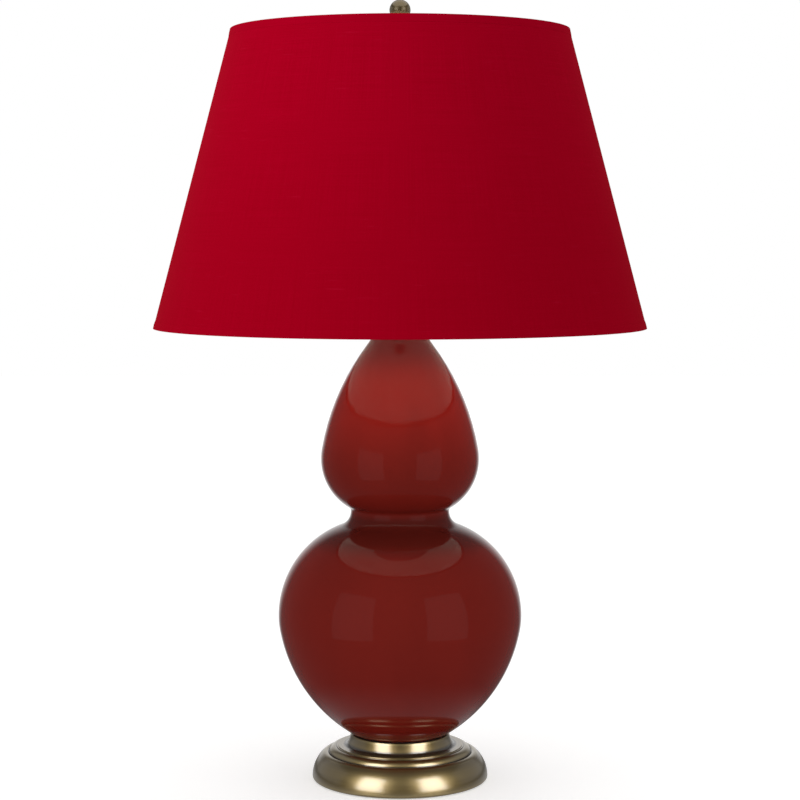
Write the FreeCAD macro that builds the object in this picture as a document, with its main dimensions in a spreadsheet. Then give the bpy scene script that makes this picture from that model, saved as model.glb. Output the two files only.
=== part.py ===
"""A double gourd table lamp, built piece by piece around one vertical axis.

Units are millimetres, +Z is up and the origin is where the axis meets the table.
The switch faces -Y, the harp stands in the XZ plane and the cord inlet faces +Y.
"""

import FreeCAD, Part
import math
import os
import re

import Sketcher

OUTPUT_FOLDER = "parts"

# Every driving size of the lamp: (alias, millimetres unless noted, what it measures).
SIZES = (
    # metal base
    ("base_radius", 89.4, "widest radius of the base"),
    ("base_height", 46.5, "table to the seat that carries the ceramic"),
    ("base_wall", 2.5, "wall of the base shell"),
    ("rim_gap", 0.8, "table to the metal rim"),
    ("rim_roll", 2.2, "rounding of the rim that faces the table"),
    ("rim_land", 3, "width of the rim's flat"),
    ("bell_radius", 32, "section radius of the lower bell"),
    ("bell_reach", 79.1, "radius where the bell turns into its shoulder"),
    ("bell_shoulder", 6, "section radius of that shoulder"),
    ("crease_width", 1.6, "width of the crease between bell and bead"),
    ("crease_level", 26.8, "table to the bottom of the crease"),
    ("crease_depth", 1.2, "depth of the crease"),
    ("bead_reach", 72.3, "outer radius of the bead on the bell"),
    ("bead_radius", 6.5, "section radius of the bead"),
    ("bead_top", 33.6, "table to the top of the bead"),
    ("step_radius", 64.8, "outer radius of the lower of two fine steps"),
    ("step_width", 1.6, "width of each fine step"),
    ("step_rise", 0.7, "height of each fine step"),
    ("cove_radius", 20, "section radius of the cove under the seat"),
    ("cove_reach", 62, "radius where the cove meets the steps"),
    ("seat_radius", 50.3, "outer radius of the seat"),
    # inside the base
    ("felt_thickness", 2, "felt under the base"),
    ("felt_radius", 80.5, "radius of the felt"),
    ("weight_radius", 79, "radius of the cast weight"),
    ("weight_thickness", 10, "thickness of the weight's disc"),
    ("weight_hub", 18, "radius of the weight's hub"),
    ("well_radius", 14, "radius of the nut well under the weight"),
    ("well_depth", 9, "depth of the nut well"),
    ("channel_width", 15, "width of the cord channel in the weight"),
    ("inlet_height", 12, "table to the axis of the cord inlet"),
    ("inlet_bore", 3.6, "radius of the hole for the cord"),
    ("bushing_barrel", 5, "radius of the bushing where it passes the wall"),
    ("bushing_flange", 6.6, "radius of the bushing's flanges"),
    ("bushing_depth", 9.5, "length of the bushing"),
    ("bushing_proud", 1.6, "how far the bushing stands out of the base"),
    # tie rod and its fastenings
    ("rod_radius", 4.9, "outer radius of the threaded tube"),
    ("rod_bore", 3.2, "radius of the bore of the tube"),
    ("rod_tail", 3, "tube below its nut"),
    ("rod_fit", 0.3, "clearance round the tube in each hole"),
    ("nut_fit", 0.05, "clearance of the tube in its nuts"),
    ("nut_flats", 14.3, "width across the flats of the nuts"),
    ("nut_height", 4, "height of the lower nut"),
    ("washer_radius", 11, "radius of the flat washer"),
    ("washer_thickness", 1.2, "thickness of the flat washer"),
    ("lock_washer_radius", 8, "radius of the split washer"),
    ("lock_washer_thickness", 1.4, "thickness of the split washer"),
    ("lock_washer_split", 1.6, "gap of the split washer"),
    # ceramic gourd, its radii of curvature and its seals
    ("foot_gasket", 1.2, "seal between the base and the ceramic"),
    ("gasket_margin", 1.5, "how far each seal stays inside the ceramic"),
    ("gourd_wall", 6, "wall of the ceramic"),
    ("foot_radius", 49.3, "radius of the ceramic's foot"),
    ("foot_hole", 9, "radius of the hole in the foot"),
    ("lower_belly", 123.4, "widest radius of the lower gourd"),
    ("lower_belly_rise", 120.9, "foot to the lower belly"),
    ("waist_radius", 49.8, "radius of the waist"),
    ("waist_rise", 106.3, "lower belly to the waist"),
    ("upper_belly", 79.9, "widest radius of the upper gourd"),
    ("upper_belly_rise", 53, "waist to the upper belly"),
    ("neck_radius", 20, "radius of the neck"),
    ("neck_rise", 154.6, "upper belly to the top of the neck"),
    ("keel_curve", 158, "section radius above the foot"),
    ("belly_curve", 82, "section radius under the lower belly"),
    ("low_waist_curve", 16, "section radius just under the waist"),
    ("high_waist_curve", 5, "section radius just over the waist"),
    ("shoulder_curve", 62.5, "section radius over the upper belly"),
    ("flank_curve", 244, "section radius of the long taper to the neck"),
    ("neck_curve", 65, "section radius of the hollow of the neck"),
    ("neck_gasket", 1, "seal on top of the neck"),
    # cap, spacer and harp bracket
    ("cap_height", 9, "height of the cap above the seal"),
    ("cap_plate", 2.5, "thickness of the cap's plate"),
    ("cap_skirt", 5, "how far the cap reaches down round the neck"),
    ("cap_wall", 1.8, "wall of the cap's skirt"),
    ("cap_bead", 1.4, "section radius of the bead round the cap"),
    ("cap_bead_width", 2.4, "height of that bead"),
    ("cap_fit", 1.2, "clearance between the skirt and the neck"),
    ("cap_hub", 9, "radius of the cap's hub"),
    ("spacer_height", 10, "height of the spacer on the cap"),
    ("spacer_radius", 8, "radius of the spacer"),
    ("spacer_waist", 6.6, "radius of the spacer's waist"),
    ("saddle_thickness", 1.5, "thickness of the harp bracket"),
    ("saddle_width", 14, "width of the harp bracket"),
    ("saddle_flat", 13, "half length of the bracket's flat"),
    ("saddle_rise", 10, "flat to ledge of the bracket"),
    ("ledge_inset", 4.4, "ledge inside the leg's axis"),
    ("ledge_outset", 4.4, "ledge outside the leg's axis"),
    ("tongue_width", 2.8, "width of the bracket's tongues"),
    ("tongue_length", 12, "height of the bracket's tongues"),
    ("tongue_offset", 0.6, "tongue inside the leg's axis"),
    ("saddle_nut_height", 5, "height of the nut on the bracket"),
    # harp
    ("wire_radius", 2.4, "radius of the harp's wire"),
    ("leg_offset", 28, "lamp's axis to each harp leg"),
    ("leg_straight", 34, "straight foot of each leg"),
    ("leg_flat", 0.4, "leg's flat inside its axis"),
    ("harp_reach", 54, "lamp's axis to the widest of the harp"),
    ("harp_flare", 68, "height over which the legs spread"),
    ("harp_height", 224, "ledge to the wire's axis at the top"),
    ("harp_corner", 44, "bend radius of the harp's shoulders"),
    ("eye_radius", 6.5, "radius of the eye at the top"),
    ("eye_flat", 9.5, "how far the wire is pressed flat round the eye"),
    ("eye_thickness", 3.2, "thickness of the eye"),
    ("sleeve_length", 16, "length of the sliding sleeves"),
    ("sleeve_wall", 1.3, "wall of the sliding sleeves"),
    ("sleeve_fit", 0.25, "clearance of the sleeves on the wire"),
    ("shank_radius", 2.5, "radius of the stud's shank"),
    ("shank_fit", 0.1, "clearance of the shank in the eye"),
    ("rivet_radius", 4, "radius of the stud's riveted end"),
    ("rivet_height", 1.2, "height of the riveted end"),
    ("flange_radius", 8, "radius of the stud's flange"),
    ("flange_thickness", 1.6, "thickness of the stud's flange"),
    ("stud_radius", 3.1, "radius of the stud's thread"),
    ("stud_length", 13, "length of the stud's thread"),
    # lamp holder and its switch
    ("holder_hub", 7.5, "radius of the hub under the holder"),
    ("holder_hub_height", 8, "height of that hub"),
    ("holder_radius", 18.2, "outer radius of the holder's cap"),
    ("holder_cap_wall", 0.9, "wall of the holder's cap"),
    ("holder_dome", 9, "height of the cap's dome"),
    ("holder_rim", 7, "height of the cap's straight rim"),
    ("shell_fit", 0.1, "clearance of the shell in the cap"),
    ("shell_wall", 0.6, "wall of the holder's shell"),
    ("shell_length", 45, "length of the holder's shell"),
    ("shell_lip", 0.8, "how far the shell's lip flares"),
    ("sleeve_card", 0.7, "wall of the insulating sleeve"),
    ("core_fit", 0.3, "clearance round the insulating core"),
    ("core_height", 19, "height of the insulating core"),
    ("core_flat", 11.5, "lamp's axis to the core's side flats"),
    ("screw_shell_radius", 13.55, "inner radius of the screw shell"),
    ("screw_shell_wall", 0.5, "wall of the screw shell"),
    ("screw_shell_length", 24, "length of the screw shell"),
    ("contact_rise", 2, "height of the spring contact"),
    ("contact_strip", 0.6, "thickness of the spring contact"),
    ("contact_width", 5, "width of the spring contact"),
    ("contact_reach", 7, "half length of the spring contact"),
    ("terminal_head", 2.9, "radius of the terminal screws' heads"),
    ("terminal_height", 2, "height of those heads"),
    ("terminal_shank", 1.7, "radius of the terminal screws' shanks"),
    ("terminal_depth", 5, "depth of the terminal screws"),
    ("switch_height", 10, "core's underside to the switch's axis"),
    ("spindle_radius", 1.6, "radius of the switch's spindle"),
    ("spindle_fit", 0.3, "clearance round the spindle"),
    ("spindle_reach", 27, "lamp's axis to the spindle's end"),
    ("spindle_root", 4, "lamp's axis to the spindle's root"),
    ("knob_radius", 5.6, "radius of the knob"),
    ("knob_length", 14, "length of the knob"),
    ("knob_start", 21.5, "lamp's axis to the knob's inner face"),
    ("knob_bore_fit", 0.02, "clearance of the knob on its spindle"),
    ("knob_groove", 0.9, "radius of the knob's finger grooves"),
    ("knob_chamfer", 0.8, "chamfer on the knob's outer end"),
    # bulb
    ("bulb_gap", 0.3, "spring contact to the bulb"),
    ("bulb_tip_radius", 4.6, "radius of the bulb's contact"),
    ("bulb_tip", 1.4, "height of the bulb's contact"),
    ("bulb_cone", 3.2, "height of the bulb's insulator"),
    ("bulb_cap_radius", 13, "radius of the bulb's screw cap"),
    ("bulb_cap_wall", 0.5, "wall of the bulb's screw cap"),
    ("bulb_thread_depth", 0.8, "depth of the cap's thread"),
    ("bulb_thread_pitch", 3.6, "pitch of the cap's thread"),
    ("bulb_collar", 6, "plain part above the cap's thread"),
    ("bulb_radius", 30, "widest radius of the glass"),
    ("bulb_neck_rise", 48, "cap to the widest of the glass"),
    ("bulb_neck_radius", 12.4, "radius of the glass where it leaves the cap"),
    ("bulb_throat_curve", 40, "section radius of the glass's throat"),
    ("bulb_wall", 0.9, "wall of the glass"),
    # shade
    ("running_gap", 0.1, "gap between pieces that turn on each other"),
    ("hub_radius", 13, "radius of the shade frame's hub"),
    ("hub_thickness", 2.6, "thickness of that hub"),
    ("hub_fit", 0.35, "clearance of the hub on the stud"),
    ("shade_recess", 15, "hub's underside to the top edge of the shade"),
    ("shade_height", 295, "height of the shade"),
    ("shade_top_radius", 168.5, "radius of the shade's top edge"),
    ("shade_bottom_radius", 246.8, "radius of the shade's bottom edge"),
    ("fabric", 0.6, "thickness of the shade's cloth"),
    ("lining", 0.9, "thickness of the shade's stiff lining"),
    ("ring_wire", 1.5, "radius of the shade's ring wires"),
    ("ring_fit", 0.2, "clearance of the ring wires in the lining and the tape"),
    ("arm_wire", 1.2, "radius of the shade frame's arms"),
    ("trim", 0.5, "thickness of the shade's edge tape"),
    ("trim_width", 7, "width of the edge tape"),
    ("seam_width", 14, "width of the lapped seam"),
    ("seam_lift", 0.4, "how far the lapped seam stands out"),
    # finial
    ("finial_base", 8.5, "radius of the finial's foot"),
    ("finial_foot", 2.4, "height of the finial's foot"),
    ("finial_neck", 5.4, "radius of the finial's neck"),
    ("finial_neck_height", 21, "foot to the ball's underside"),
    ("finial_ball", 10.6, "radius of the finial's ball"),
    ("finial_button", 3.6, "radius of the button on the ball"),
    ("finial_button_height", 0.7, "height of that button"),
    ("insert_wall", 0.9, "wall of the finial's threaded insert"),
    ("insert_fit", 0.15, "clearance of the insert on the stud"),
    ("insert_height", 13.5, "height of the finial's threaded insert"),
    ("insert_end", 0.6, "gap over the insert"),
)

# Counts.
KNOB_GROOVES = 12
FRAME_ARMS = 3
THREAD_TURNS = 5

doc = FreeCAD.newDocument("double_gourd_lamp")
sheet = doc.addObject("Spreadsheet::Sheet", "Sizes")
for row, (alias, size, note) in enumerate(SIZES, start=1):
    sheet.set(f"A{row}", note)
    sheet.set(f"B{row}", str(size))
    sheet.setAlias(f"B{row}", alias)
doc.recompute()

ALIASES = {alias for alias, _, _ in SIZES}
SUBPARTS = []


# ---------------------------------------------------------------- expressions

def cells(text):
    """The text with the sheet's name put before each alias."""
    return re.sub(r"[a-z_]+", lambda m: f"Sizes.{m[0]}" if m[0] in ALIASES else m[0], text)


def worth(text):
    """What a text of aliases and numbers comes to."""
    return float(sheet.evalExpression(cells(text)))


def bind(thing, name, text):
    thing.setExpression(name, cells(text))


# Heights above the table, each as a sum of sizes.
FOOT = "base_height + foot_gasket"
NECK = f"{FOOT} + lower_belly_rise + waist_rise + upper_belly_rise + neck_rise"
CAP = f"{NECK} + neck_gasket"
SPACER = f"{CAP} + cap_height"
SADDLE = f"{SPACER} + spacer_height"
HOLDER = f"{SADDLE} + saddle_thickness + saddle_nut_height"
LEDGE = f"{SADDLE} + saddle_rise + saddle_thickness"
HARP_TOP = f"{LEDGE} + harp_height"
STUD_FLANGE = f"{HARP_TOP} + eye_thickness / 2"
HUB = f"{STUD_FLANGE} + flange_thickness + running_gap"
SHADE_TOP = f"{HUB} + shade_recess"
FINIAL = f"{HUB} + hub_thickness + running_gap"
HOLDER_RIM = f"{HOLDER} + holder_hub_height + holder_dome"
CORE = f"{HOLDER_RIM} + holder_cap_wall"
CORE_TOP = f"{CORE} + core_height"
SWITCH = f"{CORE} + switch_height"
BULB = f"{CORE_TOP} + contact_rise + bulb_gap"
SHELL_OUTER = "(holder_radius - holder_cap_wall - shell_fit)"
CARD_OUTER = f"({SHELL_OUTER} - shell_wall)"
CORE_RADIUS = f"({CARD_OUTER} - sleeve_card - core_fit)"
ROD_HOLE = "(rod_radius + rod_fit)"
SHADE_SLOPE = "((shade_bottom_radius - shade_top_radius) / shade_height)"
RING_INSET = f"(fabric + lining + (ring_wire + ring_fit) * sqrt(1 + {SHADE_SLOPE} ^ 2))"
TOP_RING = f"shade_top_radius + {SHADE_SLOPE} * ring_wire - {RING_INSET}"
BOTTOM_RING = f"shade_bottom_radius - {SHADE_SLOPE} * ring_wire - {RING_INSET}"


# ---------------------------------------------------------------- sketches

def vector(point):
    return FreeCAD.Vector(point[0], point[1], 0)


def new_body(label, height="0"):
    """An empty body that stands at a height, and is one sub-part of the lamp."""
    body = doc.addObject("PartDesign::Body", label)
    body.Label = label
    bind(body, "Placement.Base.z", height)
    SUBPARTS.append(body)
    return body


def new_sketch(body, name, role="XZ_Plane", lift=None):
    """A sketch on one of the body's own planes, lifted off it by a length."""
    sketch = body.newObject("Sketcher::SketchObject", f"{body.Label}_{name}")
    plane = next(f for f in body.Origin.OriginFeatures if f.Role == role)
    sketch.AttachmentSupport = (plane, "")
    sketch.MapMode = "FlatFace"
    if lift:
        bind(sketch, "AttachmentOffset.Base.z", lift)
    return sketch


def fix_coordinate(sketch, kind, geometry, position, text):
    """Ties one coordinate of a point to a text of aliases."""
    if text == "0":
        axis = -2 if kind == "DistanceX" else -1
        sketch.addConstraint(Sketcher.Constraint("PointOnObject", geometry, position, axis))
        return
    index = sketch.addConstraint(
        Sketcher.Constraint(kind, -1, 1, geometry, position, worth(text)))
    name = f"{kind}_{geometry}_{position}"
    sketch.renameConstraint(index, name)
    bind(sketch, f"Constraints.{name}", text)


def fix_point(sketch, geometry, position, place):
    fix_coordinate(sketch, "DistanceX", geometry, position, place[0])
    fix_coordinate(sketch, "DistanceY", geometry, position, place[1])


def fix_radius(sketch, geometry, text):
    index = sketch.addConstraint(Sketcher.Constraint("Radius", geometry, worth(text)))
    name = f"Radius_{geometry}"
    sketch.renameConstraint(index, name)
    bind(sketch, f"Constraints.{name}", text)


def add_arc(sketch, centre, start, end):
    """The shorter arc from start to end. Returns (geometry, start's position, end's position)."""
    radius = math.dist(centre, start)
    first = math.atan2(start[1] - centre[1], start[0] - centre[0])
    last = math.atan2(end[1] - centre[1], end[0] - centre[0])
    circle = Part.Circle(vector(centre), FreeCAD.Vector(0, 0, 1), radius)
    if (last - first) % (2 * math.pi) <= math.pi:
        return sketch.addGeometry(Part.ArcOfCircle(circle, first, last), False), 1, 2
    return sketch.addGeometry(Part.ArcOfCircle(circle, last, first), False), 2, 1


def arc_centre(start, end, radius, side):
    """Centre of an arc of that radius from start to end. Side 1 puts it left of the way, -1 right."""
    chord = math.dist(start, end)
    rise = math.sqrt(max(radius ** 2 - (chord / 2) ** 2, 0.0))
    across = ((start[1] - end[1]) / chord, (end[0] - start[0]) / chord)
    return [(start[i] + end[i]) / 2 + side * rise * across[i] for i in range(2)]


def outline(sketch, *steps):
    """Draws an outline through points of (x, y), each two texts of aliases.

    A point of (x, y, radius, side) is reached by an arc whose centre lies on that side.
    The outline closes on its first point, unless its last step is None.
    """
    closed = steps[-1] is not None
    points = [step for step in steps if step is not None]
    places = [(worth(step[0]), worth(step[1])) for step in points]
    pairs = list(zip(range(len(points)), range(1, len(points))))
    if closed:
        pairs.append((len(points) - 1, 0))
    edges = []
    for first, last in pairs:
        start, end = places[first], places[last]
        if len(points[last]) == 4:
            centre = arc_centre(start, end, worth(points[last][2]), points[last][3])
            edges.append(add_arc(sketch, centre, start, end))
        else:
            line = Part.LineSegment(vector(start), vector(end))
            edges.append((sketch.addGeometry(line, False), 1, 2))
    for number, (first, last) in enumerate(pairs):
        edge = edges[number]
        fix_point(sketch, edge[0], edge[1], points[first])
        following = edges[(number + 1) % len(edges)]
        if closed or number + 1 < len(edges):
            sketch.addConstraint(
                Sketcher.Constraint("Coincident", edge[0], edge[2], following[0], following[1]))
        else:
            fix_point(sketch, edge[0], edge[2], points[last])
        if len(points[last]) == 4:
            fix_radius(sketch, edge[0], points[last][2])
    return sketch


def circle(sketch, x, y, radius):
    """A circle about a point, all three given as texts of aliases."""
    ring = Part.Circle(vector((worth(x), worth(y))), FreeCAD.Vector(0, 0, 1), worth(radius))
    geometry = sketch.addGeometry(ring, False)
    fix_point(sketch, geometry, 3, (x, y))
    fix_radius(sketch, geometry, radius)
    return sketch


# ---------------------------------------------------------------- features

def revolve(body, sketch, kind="PartDesign::Revolution"):
    """Turns a sketch about the lamp's axis."""
    turned = body.newObject(kind, f"{sketch.Label}_turned")
    turned.Profile = sketch
    turned.ReferenceAxis = (sketch, ["V_Axis"])
    turned.Angle = 360
    return turned


def pad(body, sketch, length, middle=False, backwards=False, kind="PartDesign::Pad"):
    """Pushes a sketch out, or with kind PartDesign::Pocket cuts it away."""
    pushed = body.newObject(kind, f"{sketch.Label}_pushed")
    pushed.Profile = sketch
    pushed.Midplane = middle
    pushed.Reversed = backwards
    bind(pushed, "Length", length)
    return pushed


def pocket(body, sketch, length, middle=False, backwards=False):
    return pad(body, sketch, length, middle, backwards, "PartDesign::Pocket")


def turned_body(label, height, *steps):
    """A body turned from one outline."""
    body = new_body(label, height)
    revolve(body, outline(new_sketch(body, "outline"), *steps))
    return body


def ring_body(label, height, inner, outer, thickness):
    """A plain ring or tube, from its lower face up."""
    return turned_body(label, height, (inner, "0"), (outer, "0"), (outer, thickness),
                       (inner, thickness))


def flat_faces(feature, level):
    """Names of the feature's level faces at a height in its own frame."""
    doc.recompute()
    return [
        f"Face{number}"
        for number, face in enumerate(feature.Shape.Faces, start=1)
        if isinstance(face.Surface, Part.Plane)
        and abs(face.normalAt(0, 0).z) > 0.999
        and abs(face.CenterOfMass.z - level) < 0.01
    ]


def hollow(body, feature, faces, wall):
    """Shells a feature inwards and opens the named faces."""
    shelled = body.newObject("PartDesign::Thickness", f"{body.Label}_shell")
    shelled.Base = (feature, faces)
    shelled.Reversed = True
    shelled.Join = "Arc"
    bind(shelled, "Value", wall)
    return shelled


def cylinder(name, radius, length, x="0", y="0", z="0", tilt=None):
    """A plain cylinder on its foot's centre, turned by tilt from +Z."""
    solid = doc.addObject("Part::Cylinder", name)
    bind(solid, "Radius", radius)
    bind(solid, "Height", length)
    if tilt:
        solid.Placement.Rotation = FreeCAD.Rotation(FreeCAD.Vector(*tilt[0]), tilt[1])
    for axis, text in zip("xyz", (x, y, z)):
        bind(solid, f"Placement.Base.{axis}", text)
    return solid


def box(name, size, corner):
    """A plain box from its lowest corner."""
    solid = doc.addObject("Part::Box", name)
    for side, text in zip(("Length", "Width", "Height"), size):
        bind(solid, side, text)
    for axis, text in zip("xyz", corner):
        bind(solid, f"Placement.Base.{axis}", text)
    return solid


def boolean(kind, label, base, tool):
    """Part::Cut, Part::Fuse or Part::Common of two objects, as one sub-part."""
    result = doc.addObject(kind, label)
    result.Label = label
    result.Base = base
    result.Tool = tool
    if base in SUBPARTS:
        SUBPARTS.remove(base)
    SUBPARTS.append(result)
    return result


TO_MINUS_Y = ((1, 0, 0), 90)
TO_PLUS_Y = ((1, 0, 0), -90)
TO_PLUS_X = ((0, 1, 0), 90)
TO_MINUS_X = ((0, 1, 0), -90)


# ---------------------------------------------------------------- metal base

def bell_level(radius, inset):
    """Height of the bell's arc, or of its concentric inside, at a radius."""
    centre = "(base_radius - bell_radius)"
    return f"rim_gap + rim_roll + sqrt((bell_radius - {inset}) ^ 2 - ({radius} - {centre}) ^ 2)"


def make_base_shell():
    """The turned base: seat, cove, two fine steps, bead, crease and bell, hollow from below."""
    bead_start = "bead_reach - bead_radius"
    bead_end = "bead_top - bead_radius"
    upper_step = "bead_top + step_rise"
    steps_top = f"{upper_step} + step_rise"
    rim_inside = "base_radius - rim_roll - rim_land"
    bead_inside = "bead_reach - base_wall"
    ceiling = "base_height - base_wall"
    body = turned_body(
        "base_body", "0",
        (rim_inside, "rim_gap"),
        ("base_radius - rim_roll", "rim_gap"),
        ("base_radius", "rim_gap + rim_roll", "rim_roll", 1),
        ("bell_reach", bell_level("bell_reach", "0"), "bell_radius", 1),
        ("bead_reach + crease_width", "crease_level + crease_depth", "bell_shoulder", 1),
        ("bead_reach", "crease_level"),
        ("bead_reach", bead_end),
        (bead_start, "bead_top", "bead_radius", 1),
        ("step_radius", "bead_top"),
        ("step_radius", upper_step),
        ("step_radius - step_width", upper_step),
        ("step_radius - step_width", steps_top),
        ("cove_reach", steps_top),
        ("seat_radius", "base_height", "cove_radius", -1),
        (ROD_HOLE, "base_height"),
        (ROD_HOLE, ceiling),
        ("seat_radius - base_wall", ceiling),
        ("cove_reach - base_wall", "bead_top - base_wall", "cove_radius + base_wall", 1),
        (bead_start, "bead_top - base_wall"),
        (bead_inside, bead_end, "bead_radius - base_wall", -1),
        (bead_inside, "crease_level - base_wall"),
        ("bell_reach - base_wall", bell_level("(bell_reach - base_wall)", "base_wall")),
        (rim_inside, bell_level(f"({rim_inside})", "base_wall"), "bell_radius - base_wall", -1),
    )
    inlet = cylinder("inlet_drill", "bushing_barrel", "base_radius", z="inlet_height",
                     tilt=TO_PLUS_Y)
    return boolean("Part::Cut", "base_shell", body, inlet)


def make_cord_bushing(shell):
    """A bush that grips the base's wall from both sides and follows its curve."""
    outer_end = "base_radius + bushing_proud"
    blank = cylinder("bushing_blank", "bushing_flange", "bushing_depth",
                     y=f"{outer_end} - bushing_depth", z="inlet_height", tilt=TO_PLUS_Y)
    bore = cylinder("bushing_bore", "inlet_bore", "bushing_depth",
                    y=f"{outer_end} - bushing_depth", z="inlet_height", tilt=TO_PLUS_Y)
    bored = boolean("Part::Cut", "bushing_bored", blank, bore)
    SUBPARTS.remove(bored)
    return boolean("Part::Cut", "cord_bushing", bored, shell)


def make_base_weight():
    """A cast disc whose hub carries the seat, with a well for the nut and a channel for the cord."""
    hub_top = "base_height - base_wall - felt_thickness"
    fillet = "weight_hub / 2"
    body = turned_body(
        "weight_casting", "felt_thickness",
        (ROD_HOLE, "well_depth"),
        ("well_radius", "well_depth"),
        ("well_radius", "0"),
        ("weight_radius", "0"),
        ("weight_radius", "weight_thickness"),
        (f"weight_hub + {fillet}", "weight_thickness"),
        ("weight_hub", f"weight_thickness + {fillet}", fillet, -1),
        ("weight_hub", hub_top),
        (ROD_HOLE, hub_top),
    )
    channel = box("cord_channel", ("channel_width", "weight_radius", "weight_thickness"),
                  ("-channel_width / 2", "well_radius / 2", "felt_thickness"))
    return boolean("Part::Cut", "base_weight", body, channel)


def make_felt_pad():
    felt = cylinder("felt_pad", "felt_radius", "felt_thickness")
    SUBPARTS.append(felt)
    return felt


# ---------------------------------------------------------------- tie rod

def make_nut(label, z, height):
    """A hexagon nut with a plain bore."""
    blank = doc.addObject("Part::Prism", f"{label}_blank")
    blank.Polygon = 6
    bind(blank, "Circumradius", "nut_flats / 2 / cos(30)")
    bind(blank, "Height", height)
    bind(blank, "Placement.Base.z", z)
    bore = cylinder(f"{label}_bore", "rod_radius + nut_fit", height, z=z)
    return boolean("Part::Cut", label, blank, bore)


def make_tie_rod():
    """The threaded tube that pulls the lamp together, with its lower fastenings."""
    well_top = "felt_thickness + well_depth"
    washer = f"{well_top} - washer_thickness"
    lock = f"{washer} - lock_washer_thickness"
    nut = f"{lock} - nut_height"
    ring_body("rod_washer", washer, ROD_HOLE, "washer_radius", "washer_thickness")
    split = ring_body("lock_washer_ring", lock, "rod_radius + rod_fit", "lock_washer_radius",
                      "lock_washer_thickness")
    gap = box("lock_washer_gap",
              ("lock_washer_split", "lock_washer_radius", "lock_washer_thickness"),
              ("-lock_washer_split / 2", "0", lock))
    boolean("Part::Cut", "lock_washer", split, gap)
    make_nut("rod_nut", nut, "nut_height")
    # The tube ends level with the top of the hub under the lamp holder.
    foot = f"{nut} - rod_tail + washer_thickness"
    ring_body("threaded_rod", foot, "rod_bore", "rod_radius",
              f"{HOLDER} + holder_hub_height - ({foot})")


# ---------------------------------------------------------------- ceramic gourd

def circle_crossing(first, first_reach, second, second_reach, side):
    """Where two circles cross, on the left (1) or right (-1) of the way from first to second."""
    apart = math.dist(first, second)
    along = (first_reach ** 2 - second_reach ** 2 + apart ** 2) / (2 * apart)
    off = math.sqrt(max(first_reach ** 2 - along ** 2, 0.0))
    way = ((second[0] - first[0]) / apart, (second[1] - first[1]) / apart)
    return (first[0] + way[0] * along - side * way[1] * off,
            first[1] + way[1] * along + side * way[0] * off)


def point_beyond(start, through, reach):
    """The point at a distance from start, on the line from start through another point."""
    length = math.dist(start, through)
    return tuple(start[i] + (through[i] - start[i]) * reach / length for i in range(2))


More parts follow.
